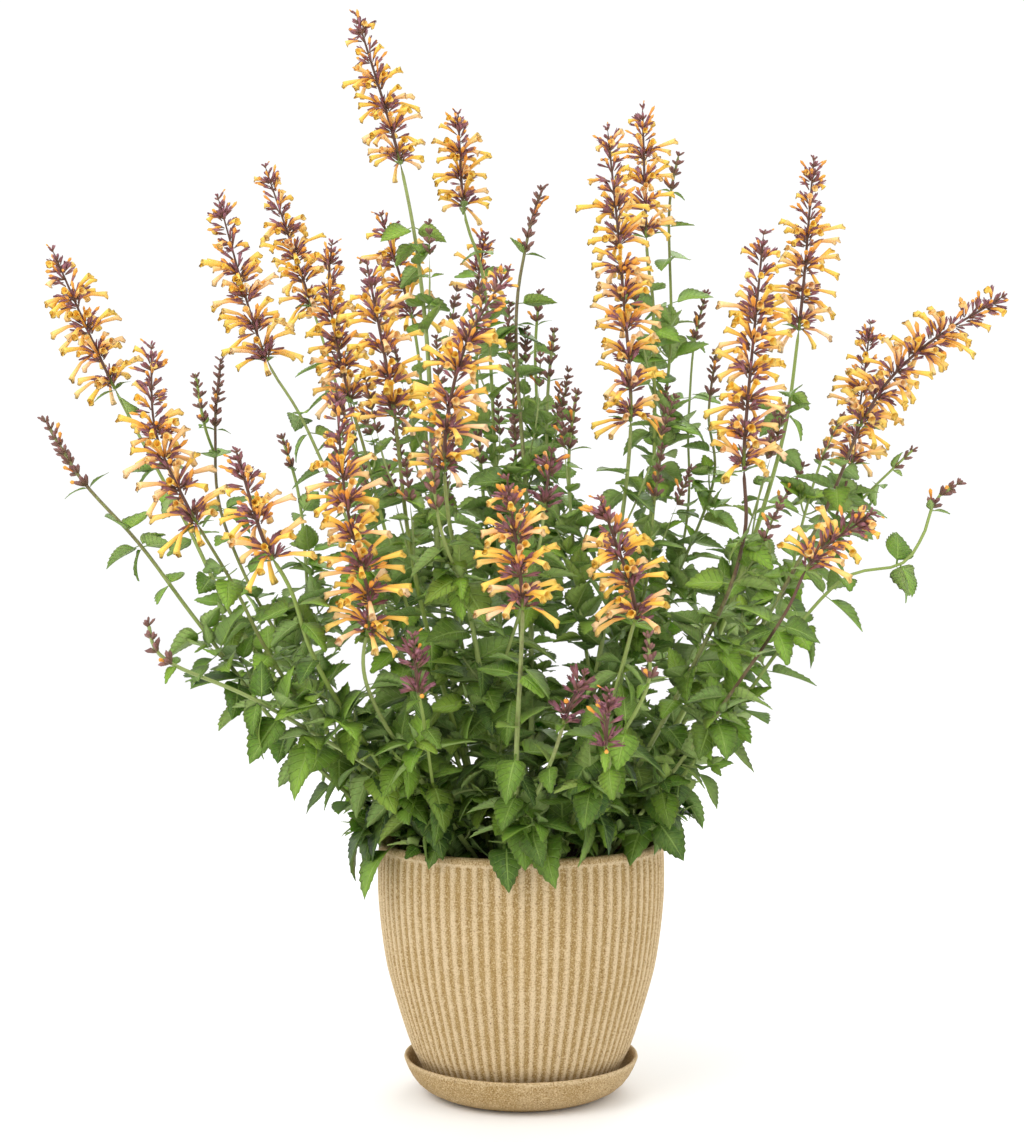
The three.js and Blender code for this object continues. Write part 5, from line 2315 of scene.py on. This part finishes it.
class Plant:
    """The whole plant, laid out by its growth rule."""

    def __init__(self) -> None:
        """Lays out the stems, then the flowers, then the leaves, each clear of what came before."""
        self.shoots: dict[str, Shoot] = {}
        for number, row in enumerate(STEMS):
            self.shoots[row.name] = Shoot(row, number + 1, self.shoots.get(row.on))
        self.clearance = Clearance()
        for shoot in self.shoots.values():
            self.clearance.add(shoot.root.name, stem_balls(shoot))
        blooming = [shoot for shoot in self.shoots.values() if shoot.row.bloom]
        self.whorls = {shoot.name: whorls_of(shoot, self.clearance) for shoot in blooming}
        self.pairs = {shoot.name: leaf_pairs_of(shoot, self.clearance) for shoot in self.shoots.values()}
        blades = [blade for pairs in self.pairs.values() for pair in pairs for blade in pair.leaves if blade]
        log.info("leaves with room: %d", len(blades))

    def build(self, spikes: Spikes, foliage: Foliage, looks: Looks) -> None:
        """Models every stem and spike.

        Args:
            spikes: how spikes are made.
            foliage: how leafy stems are made.
            looks: the materials.
        """
        leafy = [looks.stem, looks.leaf, looks.under, looks.budding, looks.bud]
        flowering = [looks.stem, looks.calyx, looks.corolla, looks.bud]
        for shoot in self.shoots.values():
            if not shoot.parent:
                family = [other for other in self.shoots.values() if other.root is shoot]
                foliage.build(family, self.pairs, leafy)
            if shoot.row.bloom:
                spikes.build(shoot, self.whorls[shoot.name], flowering)


@dataclass
class Lamp:
    """A soft square light: its name, its place and its size in metres, and its power in watts."""

    name: str
    place: Place
    size: float
    power: float


@dataclass
class Studio:
    """The plain pale floor, the soft lights and the camera, in metres."""

    distance: float = VIEW_DISTANCE * MM
    height: float = VIEW_HEIGHT * MM
    across: float = -0.008
    lens: float = 59.9
    floor_size: float = 40.0
    floor: Finish = FloorFinish("pale floor", 0.9, linear(250, 250, 250), linear(253, 253, 253))
    sky: float = 1.05
    aim: Place = (0, 0, 0.45)
    lamps: tuple[Lamp, ...] = (
        Lamp("key light", (-1.6, -1.8, 2.3), 1.8, 46),
        Lamp("fill light", (2.2, -1.4, 1.5), 2.2, 16),
        Lamp("back light", (0.6, 2.2, 2.2), 1.6, 22),
    )

    def build(self) -> None:
        """Sets the studio up."""
        bpy.context.scene.view_settings.view_transform = "Standard"
        self.add_floor()
        self.add_world()
        for lamp in self.lamps:
            self.add_light(lamp)
        self.add_camera()

    def add_floor(self) -> None:
        """Adds the floor."""
        Workbench.start()
        bpy.ops.mesh.primitive_plane_add(size=self.floor_size)
        floor = bpy.context.object
        floor.name = "floor"
        floor.data.materials.append(self.floor.build())

    def add_world(self) -> None:
        """Adds the even white light from all round."""
        world = bpy.data.worlds.new("studio")
        world.use_nodes = True
        world.node_tree.nodes["Background"].inputs[0].default_value = (1, 1, 1, 1)
        world.node_tree.nodes["Background"].inputs[1].default_value = self.sky
        bpy.context.scene.world = world

    def add_light(self, lamp: Lamp) -> None:
        """Adds a light that faces the plant.

        Args:
            lamp: the light.
        """
        data = bpy.data.lights.new(lamp.name, "AREA")
        data.size = lamp.size
        data.energy = lamp.power
        light = bpy.data.objects.new(lamp.name, data)
        light.location = lamp.place
        light.rotation_euler = (Vector(self.aim) - Vector(lamp.place)).to_track_quat("-Z", "Y").to_euler()
        bpy.context.scene.collection.objects.link(light)

    def add_camera(self) -> None:
        """Adds the camera at the photograph's viewpoint."""
        data = bpy.data.cameras.new("camera")
        data.lens = self.lens
        camera = bpy.data.objects.new("camera", data)
        camera.location = (self.across, -self.distance, self.height)
        camera.rotation_euler = (math.radians(90), 0, 0)
        bpy.context.scene.collection.objects.link(camera)
        bpy.context.scene.camera = camera


def count_triangles() -> int:
    """Returns how many triangles the pieces have in all."""
    pieces = [piece for piece in bpy.context.scene.objects if piece.type == "MESH"]
    meshes = [piece.data for piece in pieces if not piece.hide_render]
    return sum(len(face.vertices) - 2 for mesh in meshes for face in mesh.polygons)


def main() -> None:
    """Builds the object piece by piece, then the studio."""
    logging.basicConfig(level=logging.INFO, format="%(message)s")
    looks = Looks()
    Saucer().build(looks.clay)
    Pot().build(looks.clay)
    PottingMix().build(looks.soil)
    plant = Plant()
    foliage = Foliage(Spikes())
    plant.build(foliage.spikes, foliage, looks)
    low = LowShoots(foliage, list(plant.shoots.values()))
    low.build([looks.stem, looks.leaf, looks.under, looks.budding])
    Studio().build()
    log.info("triangles: %d", count_triangles())


if __name__ == "__main__":
    main()
